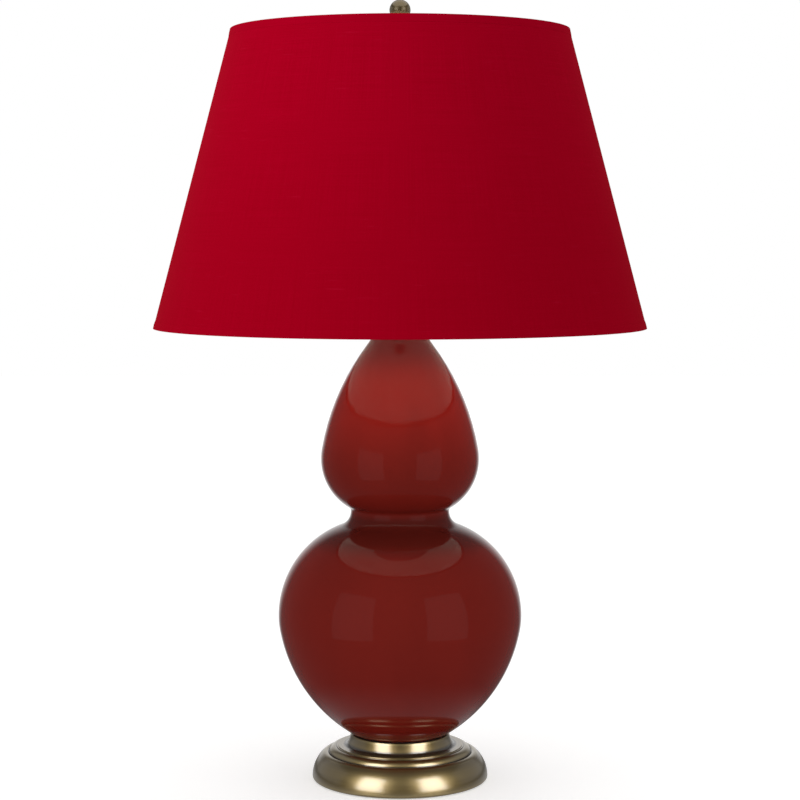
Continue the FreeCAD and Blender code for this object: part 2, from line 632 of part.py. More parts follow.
def make_gourd():
    """The ceramic shell: nine arcs, each tangent to the next, turned and hollowed."""
    body = new_body("gourd", FOOT)
    sketch = new_sketch(body, "outline")
    belly_level = "lower_belly_rise"
    waist_level = f"{belly_level} + waist_rise"
    upper_level = f"{waist_level} + upper_belly_rise"
    neck_level = f"{upper_level} + neck_rise"
    foot = ("foot_radius", "0")
    stations = (("lower_belly", belly_level), ("waist_radius", waist_level),
                ("upper_belly", upper_level), ("neck_radius", neck_level))
    foot_at, belly, waist, upper, neck = [
        (worth(r), worth(z)) for r, z in (foot, *stations)]

    # Two arcs between upright stations: their radii add up to a length that the stations fix.
    def reach_of_pair(wide, narrow):
        out, up = wide[0] - narrow[0], wide[1] - narrow[1]
        return (out ** 2 + up ** 2) / (2 * out)

    low_waist, high_waist = worth("low_waist_curve"), worth("high_waist_curve")
    low_side = reach_of_pair(belly, waist) - low_waist
    high_side = reach_of_pair(upper, waist) - high_waist
    keel, under = worth("keel_curve"), worth("belly_curve")
    shoulder, flank, hollow_neck = (
        worth("shoulder_curve"), worth("flank_curve"), worth("neck_curve"))

    under_centre = (belly[0] - under, belly[1])
    keel_centre = circle_crossing(under_centre, keel - under, foot_at, keel, -1)
    low_centre = (belly[0] - low_side, belly[1])
    low_waist_centre = (waist[0] + low_waist, waist[1])
    high_waist_centre = (waist[0] + high_waist, waist[1])
    high_centre = (upper[0] - high_side, upper[1])
    shoulder_centre = (upper[0] - shoulder, upper[1])
    neck_centre = (neck[0] + hollow_neck, neck[1])
    flank_centre = circle_crossing(
        shoulder_centre, flank - shoulder, neck_centre, flank + hollow_neck, 1)

    keel_joint = point_beyond(keel_centre, under_centre, keel)
    low_joint = point_beyond(low_centre, low_waist_centre, low_side)
    high_joint = point_beyond(high_centre, high_waist_centre, high_side)
    shoulder_joint = point_beyond(flank_centre, shoulder_centre, flank)
    flank_joint = point_beyond(flank_centre, neck_centre, flank)

    arcs = [add_arc(sketch, centre, start, end) for centre, start, end in (
        (keel_centre, foot_at, keel_joint),
        (under_centre, keel_joint, belly),
        (low_centre, belly, low_joint),
        (low_waist_centre, low_joint, waist),
        (high_waist_centre, waist, high_joint),
        (high_centre, high_joint, upper),
        (shoulder_centre, upper, shoulder_joint),
        (flank_centre, shoulder_joint, flank_joint),
        (neck_centre, flank_joint, neck),
    )]
    top = sketch.addGeometry(Part.LineSegment(vector(neck), vector((0, neck[1]))), False)
    axis = sketch.addGeometry(Part.LineSegment(vector((0, neck[1])), vector((0, 0))), False)
    floor = sketch.addGeometry(Part.LineSegment(vector((0, 0)), vector(foot_at)), False)

    # Each arc flows into the next, except at the stations, where both stand upright.
    upright_after = {1: stations[0], 3: stations[1], 5: stations[2]}
    for number, (arc, following) in enumerate(zip(arcs, arcs[1:])):
        kind = "Coincident" if number in upright_after else "Tangent"
        sketch.addConstraint(
            Sketcher.Constraint(kind, arc[0], arc[2], following[0], following[1]))
        if number in upright_after:
            fix_point(sketch, arc[0], arc[2], upright_after[number])
            for side, end in ((arc, arc[2]), (following, following[1])):
                sketch.addConstraint(Sketcher.Constraint("Horizontal", side[0], 3, side[0], end))
    for arc, text in ((0, "keel_curve"), (1, "belly_curve"), (3, "low_waist_curve"),
                      (4, "high_waist_curve"), (6, "shoulder_curve"), (7, "flank_curve"),
                      (8, "neck_curve")):
        fix_radius(sketch, arcs[arc][0], text)
    fix_point(sketch, arcs[0][0], arcs[0][1], foot)
    fix_point(sketch, arcs[8][0], arcs[8][2], stations[3])
    sketch.addConstraint(
        Sketcher.Constraint("Horizontal", arcs[8][0], 3, arcs[8][0], arcs[8][2]))
    for link in ((arcs[8][0], arcs[8][2], top, 1), (top, 2, axis, 1), (axis, 2, floor, 1),
                 (floor, 2, arcs[0][0], arcs[0][1])):
        sketch.addConstraint(Sketcher.Constraint("Coincident", *link))
    sketch.addConstraint(Sketcher.Constraint("Horizontal", top))
    sketch.addConstraint(Sketcher.Constraint("PointOnObject", top, 2, -2))
    sketch.addConstraint(Sketcher.Constraint("Coincident", axis, 2, -1, 1))

    solid = revolve(body, sketch)
    hollow(body, solid, flat_faces(solid, neck[1]), "gourd_wall")
    hole = circle(new_sketch(body, "foot_hole", "XY_Plane"), "0", "0", "foot_hole")
    pocket(body, hole, "gourd_wall * 2", backwards=True)
    return body


# ---------------------------------------------------------------- neck fittings

def make_vase_cap():
    """A turned cap that centres on the neck by its skirt and rises in a cove to a hub."""
    inside = "neck_radius + cap_fit"
    outside = f"{inside} + cap_wall"
    turned_body(
        "vase_cap", CAP,
        (ROD_HOLE, "0"),
        (inside, "0"),
        (inside, "-cap_skirt"),
        (outside, "-cap_skirt"),
        (outside, "-cap_skirt + cap_bead_width", "cap_bead", 1),
        (outside, "cap_plate - cap_wall"),
        (f"{outside} - cap_wall", "cap_plate", "cap_wall", 1),
        ("cap_hub + cap_height - cap_plate", "cap_plate"),
        ("cap_hub", "cap_height", "cap_height - cap_plate", -1),
        (ROD_HOLE, "cap_height"),
    )


def make_neck_spacer():
    """A small turned baluster between the cap and the harp bracket."""
    shoulder = "spacer_height / 5"
    waist_curve = "((spacer_radius - spacer_waist) / 2 + (spacer_height - 2 * spacer_height / 5)" \
                  " ^ 2 / (8 * (spacer_radius - spacer_waist)))"
    turned_body(
        "neck_spacer", SPACER,
        (ROD_HOLE, "0"),
        ("spacer_radius", "0"),
        ("spacer_radius", shoulder),
        ("spacer_radius", f"spacer_height - {shoulder}", waist_curve, -1),
        ("spacer_radius", "spacer_height"),
        (ROD_HOLE, "spacer_height"),
    )


def make_harp_saddle():
    """A bent strip: a flat on the rod, two sloping arms, and a ledge and tongue for each leg."""
    body = new_body("harp_saddle", SADDLE)
    strip = new_sketch(body, "strip")
    inner = "leg_offset - ledge_inset"
    outer = "leg_offset + ledge_outset"
    outline(
        strip,
        ("-saddle_flat", "0"), ("saddle_flat", "0"),
        (f"{inner}", "saddle_rise"), (outer, "saddle_rise"),
        (outer, "saddle_rise + saddle_thickness"),
        (f"{inner} - saddle_thickness / 2", "saddle_rise + saddle_thickness"),
        ("saddle_flat - saddle_thickness / 2", "saddle_thickness"),
        ("-saddle_flat + saddle_thickness / 2", "saddle_thickness"),
        (f"-({inner}) + saddle_thickness / 2", "saddle_rise + saddle_thickness"),
        (f"-({outer})", "saddle_rise + saddle_thickness"),
        (f"-({outer})", "saddle_rise"), (f"-({inner})", "saddle_rise"),
    )
    pad(body, strip, "saddle_width", middle=True)
    ledge = "saddle_rise + saddle_thickness"
    near, far = "leg_offset - tongue_offset", "leg_offset - tongue_offset - saddle_thickness"
    for name, sign in (("right_tongue", ""), ("left_tongue", "-")):
        tongue = new_sketch(body, name)
        outline(
            tongue,
            (f"{sign}({far})", ledge), (f"{sign}({near})", ledge),
            (f"{sign}({near})", f"{ledge} + tongue_length"),
            (f"{sign}({far})", f"{ledge} + tongue_length"),
        )
        pad(body, tongue, "tongue_width", middle=True)
    hole = circle(new_sketch(body, "rod_hole", "XY_Plane"), "0", "0", ROD_HOLE)
    pocket(body, hole, "saddle_thickness * 4", middle=True)


# ---------------------------------------------------------------- harp

def make_harp():
    """The harp's wire: a half bow swept along lines and arcs, mirrored, with an eye on top."""
    body = new_body("harp_bow", LEDGE)
    path = new_sketch(body, "path")
    half_spread = "(harp_reach - leg_offset) / 2"
    spread_curve = f"((harp_flare ^ 2 / 4 + ({half_spread}) ^ 2) / (2 * ({half_spread})))"
    flare_top = "leg_straight + harp_flare"
    outline(
        path,
        ("leg_offset", "0"),
        ("leg_offset", "leg_straight"),
        (f"leg_offset + {half_spread}", "leg_straight + harp_flare / 2", spread_curve, -1),
        ("harp_reach", flare_top, spread_curve, 1),
        ("harp_reach", "harp_height - harp_corner"),
        ("harp_reach - harp_corner", "harp_height", "harp_corner", 1),
        ("0", "harp_height"),
        None,
    )
    section = circle(new_sketch(body, "section", "XY_Plane"), "leg_offset", "0", "wire_radius")
    doc.recompute()
    wire = body.newObject("PartDesign::AdditivePipe", "harp_bow_half")
    wire.Profile = section
    wire.Spine = (path, [f"Edge{n + 1}" for n in range(len(path.Shape.Edges))])
    doc.recompute()
    mirrored = body.newObject("PartDesign::Mirrored", "harp_bow_both")
    mirrored.Originals = [wire]
    side_plane = next(f for f in body.Origin.OriginFeatures if f.Role == "YZ_Plane")
    mirrored.MirrorPlane = (side_plane, [""])
    body.Tip = mirrored
    doc.recompute()
    for name, face, under in (("flat_above", "harp_height + eye_thickness / 2", False),
                              ("flat_below", "harp_height - eye_thickness / 2", True)):
        press = circle(new_sketch(body, name, "XY_Plane", face), "0", "0", "eye_flat")
        pocket(body, press, "wire_radius * 2", backwards=not under)
    eye = circle(new_sketch(body, "eye", "XY_Plane", "harp_height"), "0", "0", "eye_radius")
    pad(body, eye, "eye_thickness", middle=True)
    hole = circle(new_sketch(body, "eye_hole", "XY_Plane", "harp_height"),
                  "0", "0", "shank_radius + shank_fit")
    pocket(body, hole, "wire_radius * 4", middle=True)
    for name, sign in (("right_flat", ""), ("left_flat", "-")):
        flat = new_sketch(body, name)
        outline(
            flat,
            (f"{sign}(leg_offset - leg_flat)", "0"),
            (f"{sign}(leg_offset - wire_radius * 2)", "0"),
            (f"{sign}(leg_offset - wire_radius * 2)", "tongue_length + leg_flat"),
            (f"{sign}(leg_offset - leg_flat)", "tongue_length + leg_flat"),
        )
        pocket(body, flat, "wire_radius * 4", middle=True)
    return body


def make_harp_stud():
    """The riveted stud on the harp's eye: shank, flange and thread."""
    eye_top = "0"
    under = "-eye_thickness"
    turned_body(
        "harp_stud", STUD_FLANGE,
        ("0", f"{under} - rivet_height"),
        ("rivet_radius", f"{under} - rivet_height"),
        ("rivet_radius", under),
        ("shank_radius", under),
        ("shank_radius", eye_top),
        ("flange_radius", eye_top),
        ("flange_radius", "flange_thickness"),
        ("stud_radius", "flange_thickness"),
        ("stud_radius", "flange_thickness + stud_length"),
        ("0", "flange_thickness + stud_length"),
    )


def make_harp_sleeves():
    """The two sleeves that slide down over the tongues and lock the legs."""
    bore = "wire_radius + sleeve_fit"
    for label, side in (("harp_sleeve_right", "leg_offset"), ("harp_sleeve_left", "-leg_offset")):
        sleeve = ring_body(label, f"{LEDGE} + running_gap", bore, f"{bore} + sleeve_wall",
                           "sleeve_length")
        bind(sleeve, "Placement.Base.x", side)


# ---------------------------------------------------------------- lamp holder

def make_holder_cap():
    """The holder's cap: a bored hub, a dome and a straight rim."""
    wall = "holder_cap_wall"
    dome_foot = "holder_hub_height"
    dome_top = "holder_hub_height + holder_dome"
    rim_top = f"{dome_top} + holder_rim"
    dome_curve = "(((holder_radius - holder_hub) ^ 2 + holder_dome ^ 2)" \
                 " / (2 * (holder_radius - holder_hub)))"
    turned_body(
        "socket_cap", HOLDER,
        ("rod_radius + nut_fit", "0"),
        ("holder_hub", "0"),
        ("holder_hub", dome_foot),
        ("holder_radius", dome_top, dome_curve, 1),
        ("holder_radius", rim_top),
        (f"holder_radius - {wall}", rim_top),
        (f"holder_radius - {wall}", dome_top),
        (f"holder_hub - {wall}", f"{dome_foot} + {wall}", dome_curve, -1),
        ("rod_radius + nut_fit", f"{dome_foot} + {wall}"),
    )


def make_holder_shell():
    """The holder's shell with its flared lip, drilled for the switch's spindle."""
    lip = "shell_lip"
    inside = f"{SHELL_OUTER} - shell_wall"
    body = turned_body(
        "socket_shell_tube", CORE,
        (inside, "0"),
        (SHELL_OUTER, "0"),
        (SHELL_OUTER, f"shell_length - {lip}"),
        (f"{SHELL_OUTER} + {lip}", "shell_length"),
        (f"{inside} + {lip}", "shell_length"),
        (inside, f"shell_length - {lip}"),
    )
    drill = cylinder("shell_drill", "spindle_radius + spindle_fit", "holder_radius * 2",
                     z=SWITCH, tilt=TO_MINUS_Y)
    return boolean("Part::Cut", "socket_shell", body, drill)


def make_insulating_sleeve():
    body = ring_body("card_tube", CORE, f"{CARD_OUTER} - sleeve_card", CARD_OUTER,
                     "shell_length - shell_lip")
    drill = cylinder("card_drill", "spindle_radius + spindle_fit", "holder_radius * 2",
                     z=SWITCH, tilt=TO_MINUS_Y)
    return boolean("Part::Cut", "socket_liner", body, drill)


def make_core():
    """The moulded core: two side flats for the terminals and a cross bore for the switch."""
    blank = cylinder("core_blank", CORE_RADIUS, "core_height", z=CORE)
    flats = box("core_flats", ("core_flat * 2", f"{CORE_RADIUS} * 2", "core_height"),
                ("-core_flat", f"-{CORE_RADIUS}", CORE))
    flattened = boolean("Part::Common", "core_flattened", blank, flats)
    bore = cylinder("core_bore", "spindle_radius + spindle_fit",
                    f"{CORE_RADIUS} - spindle_root + spindle_fit",
                    y="-spindle_root + spindle_fit", z=SWITCH, tilt=TO_MINUS_Y)
    bored = boolean("Part::Cut", "core_bored", flattened, bore)
    holes = cylinder("terminal_holes", "terminal_shank", "core_flat * 2", x="-core_flat",
                     z=SWITCH, tilt=TO_PLUS_X)
    keep = box("terminal_stop", ("(core_flat - terminal_depth) * 2", "terminal_shank * 4",
                                 "terminal_shank * 4"),
               ("-(core_flat - terminal_depth)", "-terminal_shank * 2",
                f"{SWITCH} - terminal_shank * 2"))
    ends = boolean("Part::Cut", "terminal_drill", holes, keep)
    SUBPARTS.remove(ends)
    return boolean("Part::Cut", "socket_core", bored, ends)


def make_terminal_screws():
    """Both terminal screws, as one group of two solids."""
    screws = []
    for name, sign, tilt in (("right", "", TO_PLUS_X), ("left", "-", TO_MINUS_X)):
        head = cylinder(f"{name}_head", "terminal_head", "terminal_height",
                        x=f"{sign}core_flat", z=SWITCH, tilt=tilt)
        shank = cylinder(f"{name}_shank", "terminal_shank", "terminal_depth",
                         x=f"{sign}(core_flat - terminal_depth)", z=SWITCH, tilt=tilt)
        screw = boolean("Part::Fuse", f"{name}_screw", head, shank)
        SUBPARTS.remove(screw)
        screws.append(screw)
    group = doc.addObject("Part::Compound", "terminal_screws")
    group.Links = screws
    SUBPARTS.append(group)


def make_contacts():
    """The threaded screw shell and the sprung strip that meets the bulb's tip."""
    inner = "screw_shell_radius"
    outer = "screw_shell_radius + screw_shell_wall"
    ring_body("screw_shell", CORE_TOP, inner, outer, "screw_shell_length")
    body = new_body("centre_contact", CORE_TOP)
    strip = new_sketch(body, "strip", "YZ_Plane")
    thick = "contact_strip"
    top = "contact_rise"
    outline(
        strip,
        ("-contact_reach", "0"),
        ("0", "0"),
        (f"contact_reach / 2", f"{top} - {thick}"),
        ("contact_reach", f"{top} - {thick}"),
        ("contact_reach", top),
        (f"contact_reach / 2 - {thick} / 2", top),
        (f"-{thick} / 2", thick),
        ("-contact_reach", thick),
    )
    pad(body, strip, "contact_width", middle=True)


def make_switch():
    """The spindle and its grooved knob, turning about a level axis towards -Y."""
    spindle = cylinder("switch_spindle", "spindle_radius", "spindle_reach - spindle_root",
                       y="-spindle_root", z=SWITCH, tilt=TO_MINUS_Y)
    SUBPARTS.append(spindle)
    body = new_body("switch_knob", SWITCH)
    blank = circle(new_sketch(body, "blank", "XZ_Plane", "knob_start"), "0", "0", "knob_radius")
    solid = pad(body, blank, "knob_length")
    doc.recompute()
    outer_face = min(
        range(len(solid.Shape.Faces)), key=lambda n: solid.Shape.Faces[n].CenterOfMass.y)
    chamfer = body.newObject("PartDesign::Chamfer", "switch_knob_chamfer")
    chamfer.Base = (solid, [f"Face{outer_face + 1}"])
    bind(chamfer, "Size", "knob_chamfer")
    bore = circle(new_sketch(body, "bore", "XZ_Plane", "knob_start"),
                  "0", "0", "spindle_radius + knob_bore_fit")
    pocket(body, bore, "spindle_reach - knob_start + knob_bore_fit", backwards=True)
    notch = circle(new_sketch(body, "groove", "XZ_Plane", "knob_start"),
                   "knob_radius", "0", "knob_groove")
    groove = pocket(body, notch, "knob_length", backwards=True)
    doc.recompute()
    pattern = body.newObject("PartDesign::PolarPattern", "switch_knob_grooves")
    pattern.Originals = [groove]
    pattern.Axis = (notch, ["N_Axis"])
    pattern.Angle = 360
    pattern.Occurrences = KNOB_GROOVES
    body.Tip = pattern


# ---------------------------------------------------------------- bulb

def make_bulb():
    """The bulb, from its contact up: tip, insulator, screw cap and glass."""
    cap_foot = "bulb_tip + bulb_cone"
    thread = f"{THREAD_TURNS} * bulb_thread_pitch"
    root = "bulb_cap_radius - bulb_thread_depth"
    turned_body(
        "bulb_contact", BULB,
        ("0", "0"),
        ("bulb_tip_radius", "bulb_tip", "(bulb_tip_radius ^ 2 + bulb_tip ^ 2) / (2 * bulb_tip)", 1),
        ("0", "bulb_tip"),
    )
    turned_body(
        "bulb_insulator", f"{BULB} + bulb_tip",
        ("0", "0"),
        ("bulb_tip_radius", "0"),
        (f"{root} - bulb_cap_wall", "bulb_cone"),
        ("0", "bulb_cone"),
    )
    # Round ridges, one a turn, over a plain inside.
    ridges = []
    crest = "((bulb_thread_pitch / 2) ^ 2 + bulb_thread_depth ^ 2) / (2 * bulb_thread_depth)"
    for turn in range(THREAD_TURNS):
        ridges.append((root, f"{turn + 1} * bulb_thread_pitch", crest, 1))
    turned_body(
        "bulb_cap", f"{BULB} + {cap_foot}",
        (f"{root} - bulb_cap_wall", "0"),
        (root, "0"),
        *ridges,
        ("bulb_cap_radius", thread),
        ("bulb_cap_radius", f"{thread} + bulb_collar"),
        (f"{root} - bulb_cap_wall", f"{thread} + bulb_collar"),
    )
    make_bulb_glass(f"{BULB} + {cap_foot} + {thread} + bulb_collar")


def make_bulb_glass(foot):
    """The glass: a globe that flows into its neck, both faces on shared centres."""
    throat_out = "(bulb_neck_radius + bulb_throat_curve)"
    between = "(bulb_radius + bulb_throat_curve)"
    drop = f"sqrt({between} ^ 2 - {throat_out} ^ 2)"
    throat_level = f"bulb_neck_rise - {drop}"
    outer_share = f"bulb_radius / {between}"
    inner_share = f"(bulb_radius - bulb_wall) / {between}"
    crown = "bulb_neck_rise + bulb_radius"
    turned_body(
        "bulb_glass", foot,
        ("bulb_neck_radius - bulb_wall", "0"),
        ("bulb_neck_radius", "0"),
        ("bulb_neck_radius", throat_level),
        (f"{throat_out} * {outer_share}", f"bulb_neck_rise - {drop} * {outer_share}",
         "bulb_throat_curve", -1),
        ("0", crown, "bulb_radius", 1),
        ("0", f"{crown} - bulb_wall"),
        (f"{throat_out} * {inner_share}", f"bulb_neck_rise - {drop} * {inner_share}",
         "bulb_radius - bulb_wall", -1),
        ("bulb_neck_radius - bulb_wall", throat_level, "bulb_throat_curve + bulb_wall", 1),
    )


# ---------------------------------------------------------------- shade

def make_shade_cloth():
    """The cloth cone with its lapped seam at the back, and the stiff lining inside it."""
    low = "-shade_height"
    body = turned_body(
        "shade_fabric", SHADE_TOP,
        ("shade_top_radius - fabric", "0"),
        ("shade_top_radius", "0"),
        ("shade_bottom_radius", low),
        ("shade_bottom_radius - fabric", low),
    )
    seam = new_sketch(body, "seam", "YZ_Plane")
    edge = "trim_width + trim"
    top_at = f"shade_top_radius + {SHADE_SLOPE} * ({edge})"
    low_at = f"shade_bottom_radius - {SHADE_SLOPE} * ({edge})"
    outline(
        seam,
        (f"{top_at} - fabric / 2", f"-({edge})"),
        (f"{top_at} + seam_lift", f"-({edge})"),
        (f"{low_at} + seam_lift", f"{low} + {edge}"),
        (f"{low_at} - fabric / 2", f"{low} + {edge}"),
    )
    lap = revolve(body, seam)
    lap.Midplane = True
    bind(lap, "Angle", "seam_width / shade_bottom_radius * 180 / 3.14159")
    turned_body(
        "shade_lining", SHADE_TOP,
        ("shade_top_radius - fabric - lining", "0"),
        ("shade_top_radius - fabric", "0"),
        ("shade_bottom_radius - fabric", low),
        ("shade_bottom_radius - fabric - lining", low),
    )


def make_shade_frame():
    """The top ring and its arms, as one welded frame, and the hub that drops onto the stud."""
    hub = new_body("shade_hub", HUB)
    pad(hub, circle(new_sketch(hub, "rim", "XY_Plane"), "0", "0", "hub_radius"), "hub_thickness")
    hole = circle(new_sketch(hub, "hole", "XY_Plane"), "0", "0", "stud_radius + hub_fit")
    pocket(hub, hole, "hub_thickness * 4", middle=True)

    body = new_body("shade_ring_and_arms", HUB)
    ring_level = "shade_recess - ring_wire"
    section = circle(new_sketch(body, "ring"), TOP_RING, ring_level, "ring_wire")
    revolve(body, section)
    path = new_sketch(body, "arm_path", "YZ_Plane")
    start = "hub_radius - arm_wire"
    level = "hub_thickness / 2"
    bend = f"({ring_level} - {level})"
    outline(
        path,
        (start, level),
        (f"{TOP_RING} - {bend}", level),
        (TOP_RING, ring_level, bend, 1),
        None,
    )
    arm_section = circle(new_sketch(body, "arm_section", "XZ_Plane", f"-({start})"),
                         "0", level, "arm_wire")
    doc.recompute()
    arm = body.newObject("PartDesign::AdditivePipe", "shade_arm")
    arm.Profile = arm_section
    arm.Spine = (path, [f"Edge{n + 1}" for n in range(len(path.Shape.Edges))])
    doc.recompute()
    arms = body.newObject("PartDesign::PolarPattern", "shade_arms")
    arms.Originals = [arm]
    arms.Axis = (section, ["V_Axis"])
    arms.Angle = 360
    arms.Occurrences = FRAME_ARMS
    body.Tip = arms
    doc.recompute()
    return boolean("Part::Cut", "shade_frame", body, hub)


def edge_tape(label, edge_radius, ring, level, way):
    """Tape folded over an edge of the shade and its ring. Way is -1 at the top, 1 at the bottom."""
    end = f"{level} + {way} * trim_width"
    fold = f"{level} - {way} * trim"
    lean = f"{SHADE_SLOPE} * {-way} * trim_width"
    inside = f"{ring} - ring_wire - ring_fit"
    return turned_body(
        label, SHADE_TOP,
        (f"{edge_radius} + trim", fold),
        (f"{edge_radius} + trim + {lean}", end),
        (f"{edge_radius} + {lean}", end),
        (edge_radius, level),
        (inside, level),
        (inside, end),
        (f"{inside} - trim", end),
        (f"{inside} - trim", fold),
    )


def make_shade_edges(frame):
    """The bottom ring and both edge tapes. The arms pass through slots in the top tape."""
    low = "-shade_height"
    body = new_body("shade_bottom_ring", SHADE_TOP)
    revolve(body, circle(new_sketch(body, "section"), BOTTOM_RING, f"{low} + ring_wire",
                         "ring_wire"))
    edge_tape("shade_bottom_trim", "shade_bottom_radius", BOTTOM_RING, low, 1)
    blank = edge_tape("top_tape", "shade_top_radius", TOP_RING, "0", -1)
    return boolean("Part::Cut", "shade_top_trim", blank, frame)


# ---------------------------------------------------------------- finial

def make_finial():
    """A ball on a coved stem, bored for the threaded insert that runs on the stud."""
    bore = "stud_radius + insert_fit + insert_wall"
    ball_centre = "finial_foot + finial_neck_height + sqrt(finial_ball ^ 2 - finial_neck ^ 2)"
    crown = f"{ball_centre} + sqrt(finial_ball ^ 2 - finial_button ^ 2)"
    cove = "finial_base - finial_neck"
    turned_body(
        "finial_knob", FINIAL,
        (bore, "0"),
        ("finial_base", "0"),
        ("finial_base", "finial_foot"),
        ("finial_neck", f"finial_foot + {cove}", cove, -1),
        ("finial_neck", "finial_foot + finial_neck_height"),
        ("finial_ball", ball_centre, "finial_ball", 1),
        ("finial_button", crown, "finial_ball", 1),
        ("finial_button", f"{crown} + finial_button_height"),
        ("0", f"{crown} + finial_button_height"),
        ("0", "insert_height + insert_end"),
        (bore, "insert_height + insert_end"),
    )
    ring_body("finial_insert", FINIAL, "stud_radius + insert_fit", bore, "insert_height")


# ---------------------------------------------------------------- the lamp

def build_lamp():
    shell = make_base_shell()
    make_cord_bushing(shell)
    make_base_weight()
    make_felt_pad()
    make_tie_rod()
    seal = "foot_radius - gasket_margin"
    ring_body("foot_gasket", "base_height", ROD_HOLE, seal, "foot_gasket")
    make_gourd()
    ring_body("neck_gasket", NECK, ROD_HOLE, "neck_radius - gasket_margin", "neck_gasket")
    make_vase_cap()
    make_neck_spacer()
    make_harp_saddle()
    make_nut("saddle_nut", f"{SADDLE} + saddle_thickness", "saddle_nut_height")
    make_harp()
    make_harp_stud()
    make_harp_sleeves()
    make_holder_cap()
    make_holder_shell()
    make_insulating_sleeve()
    make_core()
    make_terminal_screws()
    make_contacts()
    make_switch()
    make_bulb()
    make_shade_cloth()
    make_shade_edges(make_shade_frame())
    make_finial()


def check_document():
    """Stops the build if anything failed, or if a sub-part has no sound solid."""
    for item in doc.Objects:
        if any(word in item.State for word in ("Invalid", "Error")):
            raise RuntimeError(f"{item.Label} failed: {item.State}")
    for item in SUBPARTS:
        shape = item.Shape
        if shape.isNull() or not shape.isValid() or not shape.Solids or shape.Volume <= 0:
            raise RuntimeError(f"{item.Label} has no sound solid")


def write_parts():
    os.makedirs(OUTPUT_FOLDER, exist_ok=True)
    for item in SUBPARTS:
        item.Shape.exportStep(os.path.join(OUTPUT_FOLDER, f"{item.Label}.step"))


build_lamp()
doc.recompute()
check_document()
write_parts()
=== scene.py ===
"""A double gourd table lamp with a red cloth shade: its fine shapes, finishes and light."""

import math

import bmesh
import bpy
from mathutils import Matrix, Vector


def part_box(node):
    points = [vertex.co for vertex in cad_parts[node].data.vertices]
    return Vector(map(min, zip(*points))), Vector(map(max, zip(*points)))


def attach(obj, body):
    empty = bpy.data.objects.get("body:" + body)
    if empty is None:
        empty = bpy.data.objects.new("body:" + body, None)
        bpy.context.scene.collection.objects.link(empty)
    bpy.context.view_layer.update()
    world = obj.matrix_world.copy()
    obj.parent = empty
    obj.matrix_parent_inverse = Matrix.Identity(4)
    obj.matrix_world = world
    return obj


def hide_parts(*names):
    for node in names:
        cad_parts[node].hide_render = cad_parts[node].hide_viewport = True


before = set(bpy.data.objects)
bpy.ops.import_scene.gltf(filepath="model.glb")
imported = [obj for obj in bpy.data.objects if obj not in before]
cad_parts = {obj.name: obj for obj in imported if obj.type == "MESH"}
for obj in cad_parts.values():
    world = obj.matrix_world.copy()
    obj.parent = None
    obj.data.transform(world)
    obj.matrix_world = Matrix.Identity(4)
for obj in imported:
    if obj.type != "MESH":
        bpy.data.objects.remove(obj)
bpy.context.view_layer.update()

# ---- sizes
# Lengths are in millimetres and turned to metres where a mesh is made.

MM = 0.001
MERGE, LOOSE_MERGE = 0.0001 * MM, 0.002 * MM
ARC_STEP = math.radians(3)
TURN_STEPS, FINE_STEPS = 144, 72
SMOOTH_ANGLE, FRAME_SMOOTH_ANGLE = math.radians(35), math.radians(30)
FLAT_ANGLE = math.radians(0.5)
ROUND_ANGLE, ROUND_SEGMENTS = math.radians(40), 2
DRILL_SIDES, WIRE_SIDES = 48, 16
THREAD_WALL_FIT = 0.02


def low(node):
    """Height of a node's lowest point."""
    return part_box(node)[0].z / MM


def high(node):
    """Height of a node's highest point."""
    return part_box(node)[1].z / MM


def reach(node):
    """Largest distance of a node from the lamp's axis, along X."""
    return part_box(node)[1].x / MM


GOURD_FOOT = low("gourd")
SHADE_TOP = high("shade_fabric")
SHADE_BOTTOM = low("shade_fabric")
SHADE_HEIGHT = SHADE_TOP - SHADE_BOTTOM


# ---- outlines

def arc_about(centre, start, end):
    """Points of the shorter arc about a centre, from after start up to end."""
    radius = math.dist(centre, start)
    first = math.atan2(start[1] - centre[1], start[0] - centre[0])
    last = math.atan2(end[1] - centre[1], end[0] - centre[0])
    turn = (last - first + math.pi) % (2 * math.pi) - math.pi
    steps = max(2, math.ceil(abs(turn) / ARC_STEP))
    points = []
    for step in range(1, steps):
        angle = first + turn * step / steps
        points.append((centre[0] + radius * math.cos(angle),
                       centre[1] + radius * math.sin(angle)))
    return points + [tuple(end)]


def trace(*steps):
    """An outline through (x, z) points. A point of (x, z, radius, side) is reached by an arc.

    The arc's centre lies left of the way there for side 1 and right of it for side -1.
    """
    points = [steps[0][:2]]
    for step in steps[1:]:
        start, end = points[-1], step[:2]
        if len(step) == 2:
            points.append(end)
            continue
        radius, side = step[2:]
        chord = math.dist(start, end)
        rise = math.sqrt(max(radius ** 2 - chord ** 2 / 4, 0))
        across = ((start[1] - end[1]) / chord, (end[0] - start[0]) / chord)
        centre = [(start[i] + end[i]) / 2 + side * rise * across[i] for i in range(2)]
        points += arc_about(centre, start, end)
    return points


def raised(points, height):
    """The outline moved up."""
    return [(x, z + height) for x, z in points]


def inset(points, wall):
    """The outline moved to its left by a wall."""
    moved = []
    for number, (x, z) in enumerate(points):
        before = points[max(number - 1, 0)]
        after = points[min(number + 1, len(points) - 1)]
        length = math.dist(before, after)
        moved.append((x - wall * (after[1] - before[1]) / length,
                      z + wall * (after[0] - before[0]) / length))
    return moved


def divided(points, spacing):
    """The outline with points added on its longer runs."""
    result = [points[0]]
    for start, end in zip(points, points[1:]):
        parts = max(1, math.ceil(math.dist(start, end) / spacing))
        for part in range(1, parts + 1):
            share = part / parts
            result.append((start[0] + (end[0] - start[0]) * share,
                           start[1] + (end[1] - start[1]) * share))
    return result


